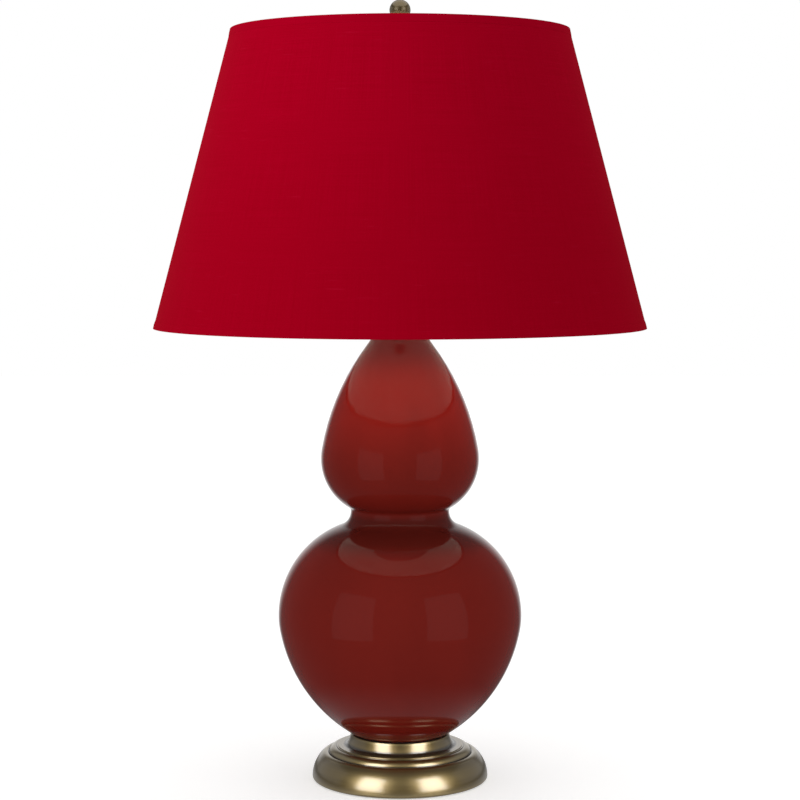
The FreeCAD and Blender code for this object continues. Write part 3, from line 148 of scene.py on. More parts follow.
def hollowness(points, span):
    """For each point of a closed outline, 0 on a flat, 1 in a crease and -1 on an outer edge."""

    def reached(here, way):
        """The spot a span along the outline from a point."""
        left = span
        while True:
            following = (here + way) % len(points)
            length = math.dist(points[here], points[following])
            if length >= left:
                share = left / length
                return [a + (b - a) * share for a, b in zip(points[here], points[following])]
            here, left = following, left - length

    values = []
    for number, (x, z) in enumerate(points):
        before, after = reached(number, -1), reached(number, 1)
        middle = ((before[0] + after[0]) / 2 - x, (before[1] + after[1]) / 2 - z)
        along = (after[0] - before[0], after[1] - before[1])
        depth = (middle[0] * along[1] - middle[1] * along[0]) / max(math.hypot(*along), 1e-9)
        values.append(min(1.0, max(-1.0, 2 * depth / span)))
    return values


# ---- pieces

def finish_mesh(name, bm, material, smooth_angle=SMOOTH_ANGLE):
    """Makes an object at the origin from a bmesh, with sharp edges where it turns sharply."""
    mesh = bpy.data.meshes.new(name)
    bm.to_mesh(mesh)
    bm.free()
    mesh.polygons.foreach_set("use_smooth", [True] * len(mesh.polygons))
    mesh.set_sharp_from_angle(angle=smooth_angle)
    mesh.materials.append(material)
    piece = bpy.data.objects.new(name, mesh)
    bpy.context.scene.collection.objects.link(piece)
    return piece


def place(piece, body, nodes=()):
    """The piece rides on a body and stands for the nodes, which it hides."""
    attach(piece, body)
    if nodes:
        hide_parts(*nodes)
    return piece


def add_turned(bm, points, steps=TURN_STEPS, span=3.0, centre_x=0.0, angle=2 * math.pi):
    """Spins a closed outline about an upright axis, with its hollowness at each point."""
    hollow = bm.verts.layers.float.get("hollow") or bm.verts.layers.float.new("hollow")
    verts = []
    for (x, z), value in zip(points, hollowness(points, span)):
        vert = bm.verts.new(((x + centre_x) * MM, 0, z * MM))
        vert[hollow] = value
        verts.append(vert)
    edges = [bm.edges.new(pair) for pair in zip(verts, verts[1:] + verts[:1])]
    bmesh.ops.spin(bm, geom=verts + edges, cent=(centre_x * MM, 0, 0), axis=(0, 0, 1),
                   angle=angle, steps=steps, use_merge=angle == 2 * math.pi)


def tip_and_move(bm, way):
    """Tips a shape that stands along Z over to Y, and moves it."""
    bmesh.ops.rotate(bm, verts=bm.verts, matrix=Matrix.Rotation(math.radians(90), 3, "X"))
    bmesh.ops.translate(bm, verts=bm.verts, vec=way)


def clean(bm):
    """Merges doubles, drops faces without area and turns all faces outwards."""
    bmesh.ops.remove_doubles(bm, verts=bm.verts, dist=MERGE)
    bmesh.ops.dissolve_degenerate(bm, edges=bm.edges, dist=MERGE)
    bmesh.ops.recalc_face_normals(bm, faces=bm.faces)


def turned(name, points, material, steps=TURN_STEPS, span=3.0, centre_x=0.0, rounding=0.0):
    """A piece turned from one outline. Its sharp edges are rounded by a bevel."""
    bm = bmesh.new()
    add_turned(bm, points, steps, span, centre_x)
    clean(bm)
    piece = finish_mesh(name, bm, material)
    if rounding:
        round_edges(piece, rounding)
    return piece


def round_edges(piece, width):
    """Rounds the sharp edges, and closes up faces that shrink to nothing."""
    bevel = piece.modifiers.new("rounding", "BEVEL")
    bevel.width = width * MM
    bevel.segments = ROUND_SEGMENTS
    bevel.limit_method = "ANGLE"
    bevel.angle_limit = ROUND_ANGLE
    bevel.harden_normals = True
    piece.modifiers.new("closing", "WELD").merge_threshold = LOOSE_MERGE


def carve(piece, cutter):
    """Cuts a piece with a closed tool, and removes the tool."""
    boolean = piece.modifiers.new("carving", "BOOLEAN")
    boolean.operation = "DIFFERENCE"
    boolean.object = cutter
    boolean.solver = "EXACT"
    bpy.context.view_layer.update()
    cut = bpy.data.meshes.new_from_object(
        piece.evaluated_get(bpy.context.evaluated_depsgraph_get()))
    piece.modifiers.remove(boolean)
    bm = bmesh.new()
    bm.from_mesh(cut)
    bmesh.ops.remove_doubles(bm, verts=bm.verts, dist=LOOSE_MERGE)
    bmesh.ops.dissolve_degenerate(bm, edges=bm.edges, dist=LOOSE_MERGE)
    bm.to_mesh(cut)
    bm.free()
    piece.data = cut
    bpy.data.objects.remove(cutter)


def cut_thread(piece, radius, start, end, pitch, depth):
    """Sinks a rounded thread into the walls at a radius, and fades it out at both ends."""
    for vert in piece.data.vertices:
        out, level = math.hypot(vert.co.x, vert.co.y) / MM, vert.co.z / MM
        if abs(out - radius) > THREAD_WALL_FIT or not start < level < end:
            continue
        turn = math.atan2(vert.co.y, vert.co.x) / (2 * math.pi)
        wave = 0.5 + 0.5 * math.cos(2 * math.pi * (level / pitch - turn))
        fade = min(1.0, (level - start) / pitch, (end - level) / pitch)
        share = 1 - depth * wave * fade / out
        vert.co.x *= share
        vert.co.y *= share


# ---- shader tools

def srgb(red, green, blue):
    """A colour of 0 to 255 as the linear values that the shaders take."""
    linear = []
    for value in (red, green, blue):
        share = value / 255
        linear.append(share / 12.92 if share <= 0.04045 else ((share + 0.055) / 1.055) ** 2.4)
    return (*linear, 1.0)


class Shader:
    """Adds nodes to a tree and joins them up."""

    def __init__(self, tree):
        self.tree = tree

    def add(self, kind, inputs=(), **settings):
        node = self.tree.nodes.new(kind)
        for key, value in settings.items():
            setattr(node, key, value)
        for name, value in dict(inputs).items():
            self.join(value, node.inputs[name])
        return node

    def join(self, value, socket):
        if isinstance(value, bpy.types.NodeSocket):
            self.tree.links.new(value, socket)
        else:
            socket.default_value = value

    def math(self, operation, first, second=0.0):
        return self.add("ShaderNodeMath", {0: first, 1: second}, operation=operation).outputs[0]

    def plus(self, first, second):
        return self.math("ADD", first, second)

    def times(self, first, second):
        return self.math("MULTIPLY", first, second)

    def mix(self, share, first, second):
        """From one colour to another."""
        return self.add("ShaderNodeMix", {0: share, 6: first, 7: second},
                        data_type="RGBA").outputs[2]

    def blend(self, share, first, second):
        """From one number to another."""
        return self.add("ShaderNodeMix", {0: share, 2: first, 3: second},
                        data_type="FLOAT").outputs[0]

    def ramp(self, value, low_in, high_in, low_out=0.0, high_out=1.0):
        """A soft rise from low_out to high_out, as the value goes from low_in to high_in."""
        return self.add("ShaderNodeMapRange", {"Value": value, "From Min": low_in,
                                               "From Max": high_in, "To Min": low_out,
                                               "To Max": high_out},
                        interpolation_type="SMOOTHSTEP").outputs[0]

    def sight(self):
        """(1 for the camera's rays, 1 for those that a gloss or a glass sends on)."""
        path = self.add("ShaderNodeLightPath").outputs
        return path["Is Camera Ray"], self.math("MAXIMUM", path["Is Glossy Ray"],
                                                path["Is Transmission Ray"])

    def spot(self):
        return self.add("ShaderNodeTexCoord").outputs["Object"]

    def parts(self, vector):
        return self.add("ShaderNodeSeparateXYZ", {0: vector}).outputs

    def joined(self, x, y, z):
        return self.add("ShaderNodeCombineXYZ", {0: x, 1: y, 2: z}).outputs[0]

    def hollow(self):
        """How deep in a crease the spot is, or how sharp an edge it is on."""
        return self.add("ShaderNodeAttribute", attribute_name="hollow").outputs["Fac"]

    def noise(self, vector, scale, detail=2.0, roughness=0.5):
        return self.add("ShaderNodeTexNoise", {"Vector": vector, "Scale": scale, "Detail": detail,
                                               "Roughness": roughness}).outputs[0]

    def streaks(self, vector, scale, roughness=0.5):
        """Noise with a scale of its own along each axis."""
        scaled = self.add("ShaderNodeMapping", {"Vector": vector, "Scale": scale}).outputs[0]
        return self.noise(scaled, 1.0, roughness=roughness)

    def group(self, tree, **inputs):
        node = self.add("ShaderNodeGroup", node_tree=tree)
        for name, value in inputs.items():
            self.join(value, node.inputs[name.replace("_", " ")])
        return node.outputs

    def bump(self, height, distance, strength=1.0):
        return self.add("ShaderNodeBump", {"Height": height, "Distance": distance,
                                           "Strength": strength}).outputs[0]

    def finish(self, **looks):
        """Gives the Principled BSDF its values and links, with _ for a space in a name."""
        sockets = self.tree.nodes["Principled BSDF"].inputs
        for name, value in looks.items():
            self.join(value, sockets[name.replace("_", " ")])


def new_group(name, inputs, outputs):
    """A shader node group with named number sockets.

    Gives the tree, its Shader, its inputs and a function that joins a value to an output.
    """
    tree = bpy.data.node_groups.new(name, "ShaderNodeTree")
    for label, value in inputs.items():
        socket = tree.interface.new_socket(label, in_out="INPUT", socket_type="NodeSocketFloat")
        socket.default_value = value
    for label in outputs:
        tree.interface.new_socket(label, in_out="OUTPUT", socket_type="NodeSocketFloat")
    shader = Shader(tree)
    entry = shader.add("NodeGroupInput")
    leave = shader.add("NodeGroupOutput")

    def put(label, value):
        shader.join(value, leave.inputs[label])

    return tree, shader, entry.outputs, put


def new_material(name):
    """(material, its Shader)."""
    material = bpy.data.materials.new(name)
    material.use_nodes = True
    return material, Shader(material.node_tree)


# ---- shared effects

def make_turning_lines():
    """Fine lines that a lathe leaves, as rings about the object's own Z axis."""
    tree, s, inputs, put = new_group("turning lines", {"Spacing": 0.0006, "Waver": 0.15},
                                     ["Lines", "Broad"])
    spot = s.spot()
    x, y, height = s.parts(spot)
    out = s.math("SQRT", s.plus(s.times(x, x), s.times(y, y)))
    waver = s.times(inputs["Waver"], s.times(s.noise(spot, scale=30.0), MM))
    ring = s.joined(s.plus(out, waver), 0.0, height)
    density = s.math("DIVIDE", 1.0, inputs["Spacing"])
    put("Lines", s.noise(ring, density, roughness=0.6))
    put("Broad", s.noise(ring, s.times(density, 0.06)))
    return tree


def make_patina():
    """Tarnish that gathers in hollows and is rubbed off outer edges, broken up by blotches."""
    tree, s, inputs, put = new_group("patina", {"Depth": 1.0, "Blotches": 18.0},
                                     ["Tarnish", "Rubbed"])
    spot = s.spot()
    cloud = s.noise(spot, inputs["Blotches"], detail=4.0, roughness=0.55)
    fine = s.noise(spot, s.times(inputs["Blotches"], 9.0), detail=3.0, roughness=0.6)
    stain = s.plus(s.times(cloud, 0.7), s.times(fine, 0.3))
    shifted = s.plus(s.hollow(), s.times(s.math("SUBTRACT", stain, 0.5), 0.4))
    put("Tarnish", s.times(s.ramp(shifted, 0.06, 0.55), inputs["Depth"]))
    put("Rubbed", s.ramp(shifted, -0.06, -0.5))
    return tree


def make_speckle():
    """Fine unevenness for cast, moulded and pressed surfaces."""
    tree, s, inputs, put = new_group("speckle", {"Scale": 400.0, "Contrast": 0.5},
                                     ["Grain", "Cloud"])
    spot = s.spot()
    grain = s.noise(spot, inputs["Scale"], detail=3.0, roughness=0.7)
    cloud = s.noise(spot, s.times(inputs["Scale"], 0.05), detail=3.0)
    put("Grain", s.plus(0.5, s.times(s.math("SUBTRACT", grain, 0.5), inputs["Contrast"])))
    put("Cloud", cloud)
    return tree


def make_weave():
    """A plain weave laid round a cone: threads round it and threads down it, with slubs."""
    tree, s, inputs, put = new_group("weave", {"Pitch": 0.0007, "Mean radius": 0.2, "Slant": 1.03},
                                     ["Height", "Slub", "Thread"])
    x, y, height = s.parts(s.spot())
    across = s.times(s.math("ARCTAN2", x, s.times(y, -1.0)), inputs["Mean radius"])
    down = s.times(height, inputs["Slant"])
    flat = s.joined(across, down, 0.0)
    turns = s.math("DIVIDE", math.pi, inputs["Pitch"])
    warp = s.math("SINE", s.times(across, turns))
    weft = s.math("SINE", s.times(down, turns))
    body = s.math("MAXIMUM", s.math("ABSOLUTE", warp), s.math("ABSOLUTE", weft))
    put("Height", s.plus(s.times(body, 0.6), s.times(s.times(warp, weft), 0.4)))
    long_slub = s.streaks(flat, (25.0, 900.0, 1.0), roughness=0.55)
    tall_slub = s.streaks(flat, (900.0, 18.0, 1.0), roughness=0.55)
    put("Slub", s.math("MAXIMUM", s.ramp(long_slub, 0.66, 0.8),
                       s.times(s.ramp(tall_slub, 0.68, 0.82), 0.6)))
    threads = s.plus(s.streaks(flat, (12.0, 1500.0, 1.0)), s.streaks(flat, (1500.0, 9.0, 1.0)))
    put("Thread", s.times(threads, 0.5))
    return tree


TURNING_LINES = make_turning_lines()
PATINA = make_patina()
SPECKLE = make_speckle()
WEAVE = make_weave()


# ---- materials
# Heights, and the pitch and relief of a texture, are in metres here.

LACQUER_ROUGHNESS, LACQUER_IOR = 0.2, 1.8
# The glaze's colours: its own red, a lighter red as painted light on the upper curve, a darker red
# as painted shadow at the neck, streaks, and a dark red for pooling and painted shade.
GLAZE_RED, GLAZE_PAINTED_LIGHT, GLAZE_PAINTED_NECK_SHADOW = srgb(116, 28, 21), srgb(158, 35, 28), srgb(116, 28, 26)
GLAZE_STREAK, GLAZE_POOL_AND_SHADE = srgb(98, 22, 16), srgb(86, 24, 18)
# Painted light makes the glaze lighter from the upper belly up. The lampshade's painted shadow
# darkens it again at the neck. A band of painted shade and dark reflection lies under the waist,
# over glaze that pools in its hollows.
PAINTED_LIGHT_FROM, PAINTED_LIGHT_FULL, NECK_SHADOW_FULL = 0.31, 0.405, 0.445
SHADE_BAND_FROM, SHADE_BAND_FULL, WAIST_FULL, WAIST_END = 0.236, 0.252, 0.268, 0.279
# Painted shade: the cloth is darkened towards its hem, between these heights.
HEM_PAINTED_SHADE, HEM_PAINTED_SHADE_SHARE, HEM_PAINTED_SHADE_FROM, HEM_PAINTED_SHADE_TO = srgb(143, 0, 20), 0.45, 0.48, 0.74


def make_metal(name, bright, base, dark, roughness=0.3, spacing=0.0006, depth=1.0,
               grooves=0.00002, lacquer=0.0):
    """A turned metal: bright where it is rubbed, dark in its hollows, with lathe lines."""
    material, s = new_material(name)
    bright, base, dark = srgb(*bright), srgb(*base), srgb(*dark)
    lines = s.group(TURNING_LINES, Spacing=spacing)
    patina = s.group(PATINA, Depth=depth)
    tarnish = patina["Tarnish"]
    streaked = s.mix(s.ramp(lines["Broad"], 0.3, 0.7), base, s.mix(0.35, base, bright))
    rubbed = s.mix(s.times(patina["Rubbed"], 0.8), streaked, bright)
    rough = s.ramp(lines["Lines"], 0.2, 0.8, roughness * 0.85, roughness * 1.2)
    s.finish(Base_Color=s.mix(tarnish, rubbed, dark),
             Roughness=s.plus(rough, s.times(tarnish, 0.2)),
             Metallic=s.ramp(tarnish, 0.0, 1.0, 1.0, 0.75),
             Normal=s.bump(lines["Lines"], grooves),
             Coat_Weight=lacquer, Coat_Roughness=LACQUER_ROUGHNESS, Coat_IOR=LACQUER_IOR)
    return material


def make_moulded(name, base, worn, roughness=0.4, scale=500.0, relief=0.00002, coat=0.0):
    """A moulded, cast or pressed material with fine speckle."""
    material, s = new_material(name)
    speckle = s.group(SPECKLE, Scale=scale, Contrast=0.8)
    s.finish(Base_Color=s.mix(s.ramp(speckle["Cloud"], 0.4, 0.75), srgb(*base), srgb(*worn)),
             Roughness=s.ramp(speckle["Grain"], 0.2, 0.8, roughness * 0.8, roughness * 1.25),
             Normal=s.bump(speckle["Grain"], relief), Coat_Weight=coat)
    return material


def make_glaze():
    """Oxblood glaze that pools in its hollows, with painted light on the upper curve, the
    lampshade's painted shadow at the neck and a band of painted shade under the waist.
    """
    material, s = new_material("oxblood glaze")
    spot = s.spot()
    height = s.parts(spot)[2]
    cloud = s.noise(spot, scale=9.0, detail=3.0)
    breath = s.streaks(spot, (14.0, 14.0, 3.0))
    pooled = s.ramp(s.plus(s.hollow(), s.times(cloud, 0.1)), 0.1, 0.6)
    # Painted light: the colour is lighter from the upper belly up.
    painted_lit = s.mix(s.ramp(height, PAINTED_LIGHT_FROM, PAINTED_LIGHT_FULL), GLAZE_RED, GLAZE_PAINTED_LIGHT)
    # Painted shadow of the lampshade: darker again at the neck.
    body = s.mix(s.ramp(height, PAINTED_LIGHT_FULL, NECK_SHADOW_FULL), painted_lit, GLAZE_PAINTED_NECK_SHADOW)
    varied = s.mix(s.times(s.ramp(breath, 0.35, 0.7), 0.3), body, GLAZE_STREAK)
    # Painted shade and dark reflection, in a band under the waist.
    painted_shade_under_waist = s.math("MINIMUM", s.ramp(height, SHADE_BAND_FROM, SHADE_BAND_FULL),
                         s.ramp(height, WAIST_END, WAIST_FULL))
    # Glaze pooling in the hollows, together with the painted shade band.
    pool_and_painted_light = s.math("MAXIMUM", s.times(pooled, 0.25), painted_shade_under_waist)
    s.finish(Base_Color=s.mix(pool_and_painted_light, varied, GLAZE_POOL_AND_SHADE),
             Roughness=s.ramp(cloud, 0.3, 0.7, 0.05, 0.08), IOR=1.35,
             Normal=s.bump(s.noise(spot, scale=160.0), 0.00001))
    return material


def make_cloth():
    """Red linen stretched on the shade, with painted shade that darkens it towards its hem, a
    sheen and a few slubs.
    """
    material, s = new_material("red linen")
    mean_radius = (reach("shade_fabric") + reach("shade_top_trim")) / 2 * MM
    weave = s.group(WEAVE, Mean_radius=mean_radius)
    base = s.mix(s.ramp(weave["Thread"], 0.35, 0.65), srgb(153, 0, 25), srgb(161, 0, 30))
    # Painted shade, darker towards the hem.
    hem_shade = s.ramp(s.parts(s.spot())[2], HEM_PAINTED_SHADE_FROM, HEM_PAINTED_SHADE_TO, HEM_PAINTED_SHADE_SHARE, 0.0)
    hem_shaded = s.mix(hem_shade, base, HEM_PAINTED_SHADE)
    relief = s.plus(weave["Height"], s.times(weave["Slub"], 0.6))
    s.finish(Base_Color=s.mix(s.times(weave["Slub"], 0.35), hem_shaded, srgb(190, 30, 62)),
             Roughness=s.ramp(weave["Height"], 0.0, 1.0, 0.95, 0.8),
             Normal=s.bump(relief, 0.00006, strength=0.5), Specular_IOR_Level=0.0,
             Sheen_Weight=0.035, Sheen_Roughness=0.4, Sheen_Tint=srgb(235, 150, 140))
    return material


def make_felt():
    """Pressed felt with a loose nap."""
    material, s = new_material("felt")
    spot = s.spot()
    nap = s.noise(spot, scale=900.0, detail=4.0, roughness=0.75)
    tufts = s.noise(spot, scale=130.0, detail=3.0, roughness=0.6)
    s.finish(Base_Color=s.mix(s.ramp(tufts, 0.35, 0.7), srgb(38, 34, 30), srgb(62, 56, 50)),
             Roughness=s.ramp(nap, 0.2, 0.8, 0.9, 1.0),
             Normal=s.bump(s.plus(nap, tufts), 0.0003), Sheen_Weight=0.4)
    return material


def make_lining():
    """Off-white card on the inside of the shade, with a faint paper tooth."""
    material, s = new_material("shade lining")
    speckle = s.group(SPECKLE, Scale=700.0, Contrast=0.6)
    s.finish(Base_Color=s.mix(s.ramp(speckle["Cloud"], 0.3, 0.7), srgb(240, 236, 226),
                              srgb(237, 232, 221)),
             Roughness=s.ramp(speckle["Grain"], 0.2, 0.8, 0.45, 0.65),
             Normal=s.bump(speckle["Grain"], 0.00002))
    return material


def make_bulb_glass():
    """Frosted glass, white from the inside."""
    material, s = new_material("frosted glass")
    frost = s.noise(s.spot(), scale=700.0, detail=3.0, roughness=0.6)
    s.finish(Base_Color=s.mix(frost, srgb(250, 249, 245), srgb(245, 244, 240)),
             Roughness=s.ramp(frost, 0.2, 0.8, 0.22, 0.28), Normal=s.bump(frost, 0.00001),
             Transmission_Weight=0.12, IOR=1.5)
    return material


ANTIQUE_BRASS = make_metal("antique brass", (150, 131, 84), (114, 95, 52), (48, 38, 20),
                           roughness=0.35, grooves=0.000012, lacquer=1.0)
BRIGHT_BRASS = make_metal("drawn brass", (228, 200, 140), (206, 172, 108), (120, 92, 48),
                          roughness=0.24, depth=0.6, grooves=0.00001)
SPUN_BRASS = make_metal("spun brass", (226, 196, 134), (200, 165, 100), (112, 86, 44),
                        spacing=0.0004, depth=0.7)
ZINC_STEEL = make_metal("zinc steel", (206, 208, 206), (172, 174, 172), (96, 96, 92),
                        roughness=0.32)
BULB_METAL = make_metal("bulb cap metal", (226, 226, 222), (196, 196, 192), (120, 120, 116),
                        roughness=0.28, spacing=0.0003)
CAST_IRON = make_moulded("cast iron", (44, 43, 42), (64, 60, 56), 0.7, 260.0, 0.0003)
SEAL_RUBBER = make_moulded("seal rubber", (24, 23, 22), (38, 36, 34), 0.75, 600.0)
BUSHING_PLASTIC = make_moulded("bushing plastic", (34, 28, 22), (46, 38, 30), 0.42)
FIBRE_CARD = make_moulded("fibre card", (120, 92, 62), (138, 108, 76), 0.8, 350.0, 0.00006)
MOULDED_CORE = make_moulded("moulded core", (28, 24, 22), (40, 35, 32))
KNOB_PLASTIC = make_moulded("knob plastic", (34, 22, 16), (44, 30, 22), 0.26, coat=0.4)
BULB_BLACK = make_moulded("bulb insulator", (14, 14, 16), (24, 24, 28), 0.2, coat=0.6)
OXBLOOD = make_glaze()
RED_LINEN = make_cloth()
FELT = make_felt()
LINING = make_lining()
FROSTED = make_bulb_glass()


# ---- pieces that keep their shape

def smoothed(node, body, material, rounding=0.0):
    """A merged copy of a node's mesh with smooth faces and rounded edges, standing for it."""
    bm = bmesh.new()
    bm.from_mesh(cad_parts[node].data)
    bmesh.ops.remove_doubles(bm, verts=bm.verts, dist=LOOSE_MERGE)
    bmesh.ops.dissolve_degenerate(bm, edges=bm.edges, dist=LOOSE_MERGE / 2)
    bmesh.ops.dissolve_limit(bm, angle_limit=FLAT_ANGLE, verts=bm.verts, edges=bm.edges)
    piece = finish_mesh(f"{node}_dressed", bm, material, FRAME_SMOOTH_ANGLE)
    if rounding:
        round_edges(piece, rounding)
    return place(piece, body, [node])


def finish_node(node, material):
    """Gives a node that is shown as it is a material."""
    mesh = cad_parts[node].data
    mesh.materials.clear()
    mesh.materials.append(material)


# ---- ceramic gourd

GOURD_WALL, GOURD_INSIDE_EDGE = 6, 1
FOOT_RADIUS, FOOT_HOLE = 49.3, 9
LOWER_BELLY, LOWER_BELLY_RISE = reach("gourd"), 120.9
WAIST_RADIUS, WAIST_RISE = 49.8, 106.3
UPPER_BELLY, UPPER_BELLY_RISE = 79.9, 53
NECK_RADIUS = 20
KEEL_CURVE, BELLY_CURVE = 158, 82
LOW_WAIST_CURVE, HIGH_WAIST_CURVE = 16, 5
SHOULDER_CURVE, FLANK_CURVE, NECK_CURVE = 62.5, 244, 65


def circle_crossing(first, first_radius, second, second_radius, side):
    """Where two circles cross, left of the way from first to second for side 1."""
    apart = math.dist(first, second)
    along = (apart ** 2 + first_radius ** 2 - second_radius ** 2) / (2 * apart)
    away = side * math.sqrt(first_radius ** 2 - along ** 2)
    unit = [(b - a) / apart for a, b in zip(first, second)]
    return (first[0] + unit[0] * along - unit[1] * away,
            first[1] + unit[1] * along + unit[0] * away)


def point_beyond(centre, through, radius):
    """The point of a circle on the ray from its centre through a point."""
    share = radius / math.dist(centre, through)
    return tuple(a + (b - a) * share for a, b in zip(centre, through))


def gourd_outline():
    """The outside, from the foot up: nine arcs that flow into each other."""
    foot = (FOOT_RADIUS, 0)
    belly = (LOWER_BELLY, LOWER_BELLY_RISE)
    waist = (WAIST_RADIUS, belly[1] + WAIST_RISE)
    upper = (UPPER_BELLY, waist[1] + UPPER_BELLY_RISE)
    neck = (NECK_RADIUS, high("gourd") - GOURD_FOOT)

    def radii_together(wide, narrow):
        out, up = wide[0] - narrow[0], wide[1] - narrow[1]
        return (out ** 2 + up ** 2) / (2 * out)

    low_side = radii_together(belly, waist) - LOW_WAIST_CURVE
    high_side = radii_together(upper, waist) - HIGH_WAIST_CURVE
    under_centre = (belly[0] - BELLY_CURVE, belly[1])
    keel_centre = circle_crossing(under_centre, KEEL_CURVE - BELLY_CURVE, foot, KEEL_CURVE, -1)
    low_centre = (belly[0] - low_side, belly[1])
    low_waist_centre = (waist[0] + LOW_WAIST_CURVE, waist[1])
    high_waist_centre = (waist[0] + HIGH_WAIST_CURVE, waist[1])
    high_centre = (upper[0] - high_side, upper[1])
    shoulder_centre = (upper[0] - SHOULDER_CURVE, upper[1])
    neck_centre = (neck[0] + NECK_CURVE, neck[1])
    flank_centre = circle_crossing(shoulder_centre, FLANK_CURVE - SHOULDER_CURVE,
                                   neck_centre, FLANK_CURVE + NECK_CURVE, 1)
    points = [foot]
    for centre, end in (
            (keel_centre, point_beyond(keel_centre, under_centre, KEEL_CURVE)),
            (under_centre, belly),
            (low_centre, point_beyond(low_centre, low_waist_centre, low_side)),
            (low_waist_centre, waist),
            (high_waist_centre, point_beyond(high_centre, high_waist_centre, high_side)),
            (high_centre, upper),
            (shoulder_centre, point_beyond(flank_centre, shoulder_centre, FLANK_CURVE)),
            (flank_centre, point_beyond(flank_centre, neck_centre, FLANK_CURVE)),
            (neck_centre, neck)):
        points += arc_about(centre, points[-1], end)
    return points


def make_gourd():
    """The hollow ceramic, with the rod's hole in its foot."""
    outside = gourd_outline()
    top = outside[-1][1]
    inside = [point for point in inset(outside, GOURD_WALL)
              if GOURD_WALL < point[1] < top - GOURD_INSIDE_EDGE]
    loop = ([(FOOT_HOLE, 0)] + divided(outside, spacing=6)
            + [(NECK_RADIUS - GOURD_WALL, top)] + inside[::-1]
            + [(inside[0][0] - GOURD_INSIDE_EDGE, GOURD_WALL), (FOOT_HOLE, GOURD_WALL)])
    piece = turned("gourd_glazed", raised(loop, GOURD_FOOT), OXBLOOD, span=14)
    return place(piece, "stand", ["gourd"])


# ---- metal base

BASE_WALL = 2.5
RIM_GAP, RIM_ROLL, RIM_LAND = 0.8, 2.2, 3
BASE_RADIUS, BASE_HEIGHT = reach("base_shell"), high("base_shell")
BELL_CURVE, BELL_REACH, BELL_SHOULDER = 32, 79.1, 6
CREASE_WIDTH, CREASE_LEVEL, CREASE_DEPTH = 1.6, 26.8, 1.2
BEAD_REACH, BEAD_CURVE, BEAD_TOP = 72.3, 6.5, 33.6
STEP_RADIUS, STEP_WIDTH, STEP_RISE = 64.8, 1.6, 0.7
COVE_REACH, COVE_FOOT, COVE_FLARE, COVE_FILLET = 62, 56.9, 44, 4
COVE_LEAN = math.radians(26)
SEAT_RADIUS, SEAT_LIP = 50.3, 0.6
ROD_HOLE = 5.2
INLET_HEIGHT, BUSHING_BARREL = 12, 5


def bell_level(radius, wall):
    """Height of the bell's outside, or of its inside under a wall, at a radius."""
    across = radius - (BASE_RADIUS - BELL_CURVE)
    return RIM_GAP + RIM_ROLL + math.sqrt((BELL_CURVE - wall) ** 2 - across ** 2)


def drill(radius, length, height, way=1):
    """A round tool along Y, to cut with. Way is 1 for +Y or -1 for -Y."""
    bm = bmesh.new()
    bmesh.ops.create_cone(bm, cap_ends=True, segments=DRILL_SIDES, radius1=radius * MM,
                          radius2=radius * MM, depth=length * MM)
    tip_and_move(bm, (0, way * length / 2 * MM, height * MM))
    return finish_mesh("drill", bm, ANTIQUE_BRASS)


def make_base():
    """The turned base with its bell, bead, steps and cove, open below, with the cord's inlet."""
    bead_start, bead_end = BEAD_REACH - BEAD_CURVE, BEAD_TOP - BEAD_CURVE
    rim_inside = BASE_RADIUS - RIM_ROLL - RIM_LAND
    upper_step = BEAD_TOP + STEP_RISE
    steps_top = upper_step + STEP_RISE
    ceiling = BASE_HEIGHT - BASE_WALL
    cove_bend = (COVE_FOOT - COVE_FILLET * math.cos(COVE_LEAN),
                 steps_top + COVE_FILLET * (1 - math.sin(COVE_LEAN)))
    loop = trace(
        (rim_inside, RIM_GAP),
        (BASE_RADIUS - RIM_ROLL, RIM_GAP),
        (BASE_RADIUS, RIM_GAP + RIM_ROLL, RIM_ROLL, 1),
        (BELL_REACH, bell_level(BELL_REACH, 0), BELL_CURVE, 1),
        (BEAD_REACH + CREASE_WIDTH, CREASE_LEVEL + CREASE_DEPTH, BELL_SHOULDER, 1),
        (BEAD_REACH, CREASE_LEVEL),
        (BEAD_REACH, bead_end),
        (bead_start, BEAD_TOP, BEAD_CURVE, 1),
        (STEP_RADIUS, BEAD_TOP),
        (STEP_RADIUS, upper_step),
        (STEP_RADIUS - STEP_WIDTH, upper_step),
        (STEP_RADIUS - STEP_WIDTH, steps_top),
        (COVE_REACH, steps_top),
        (COVE_FOOT, steps_top),
        (*cove_bend, COVE_FILLET, -1),
        (SEAT_RADIUS, BASE_HEIGHT - SEAT_LIP, COVE_FLARE, -1),
        (SEAT_RADIUS - SEAT_LIP, BASE_HEIGHT, SEAT_LIP, 1),
        (ROD_HOLE, BASE_HEIGHT),
        (ROD_HOLE, ceiling),
        (SEAT_RADIUS - BASE_WALL, ceiling),
        (cove_bend[0] - BASE_WALL, cove_bend[1] - BASE_WALL / 2),
        (COVE_FOOT - BASE_WALL / 2, BEAD_TOP - BASE_WALL),
        (bead_start, BEAD_TOP - BASE_WALL),
        (BEAD_REACH - BASE_WALL, bead_end, BEAD_CURVE - BASE_WALL, -1),
        (BEAD_REACH - BASE_WALL, CREASE_LEVEL - BASE_WALL),
        (BELL_REACH - BASE_WALL, bell_level(BELL_REACH - BASE_WALL, BASE_WALL)),
        (rim_inside, bell_level(rim_inside, BASE_WALL), BELL_CURVE - BASE_WALL, -1),
    )
    piece = turned("base_turned", divided(loop, spacing=3), ANTIQUE_BRASS)
    carve(piece, drill(BUSHING_BARREL, BASE_RADIUS, INLET_HEIGHT))
    return place(piece, "stand", ["base_shell"])


# ---- cap and spacer

CAP_FIT, CAP_WALL, CAP_PLATE, CAP_SKIRT = 1.2, 1.8, 2.5, 5
CAP_BEAD, CAP_BEAD_WIDTH, CAP_HUB = 1.4, 2.4, 9
SPACER_RADIUS, SPACER_WAIST = 8, 6.6


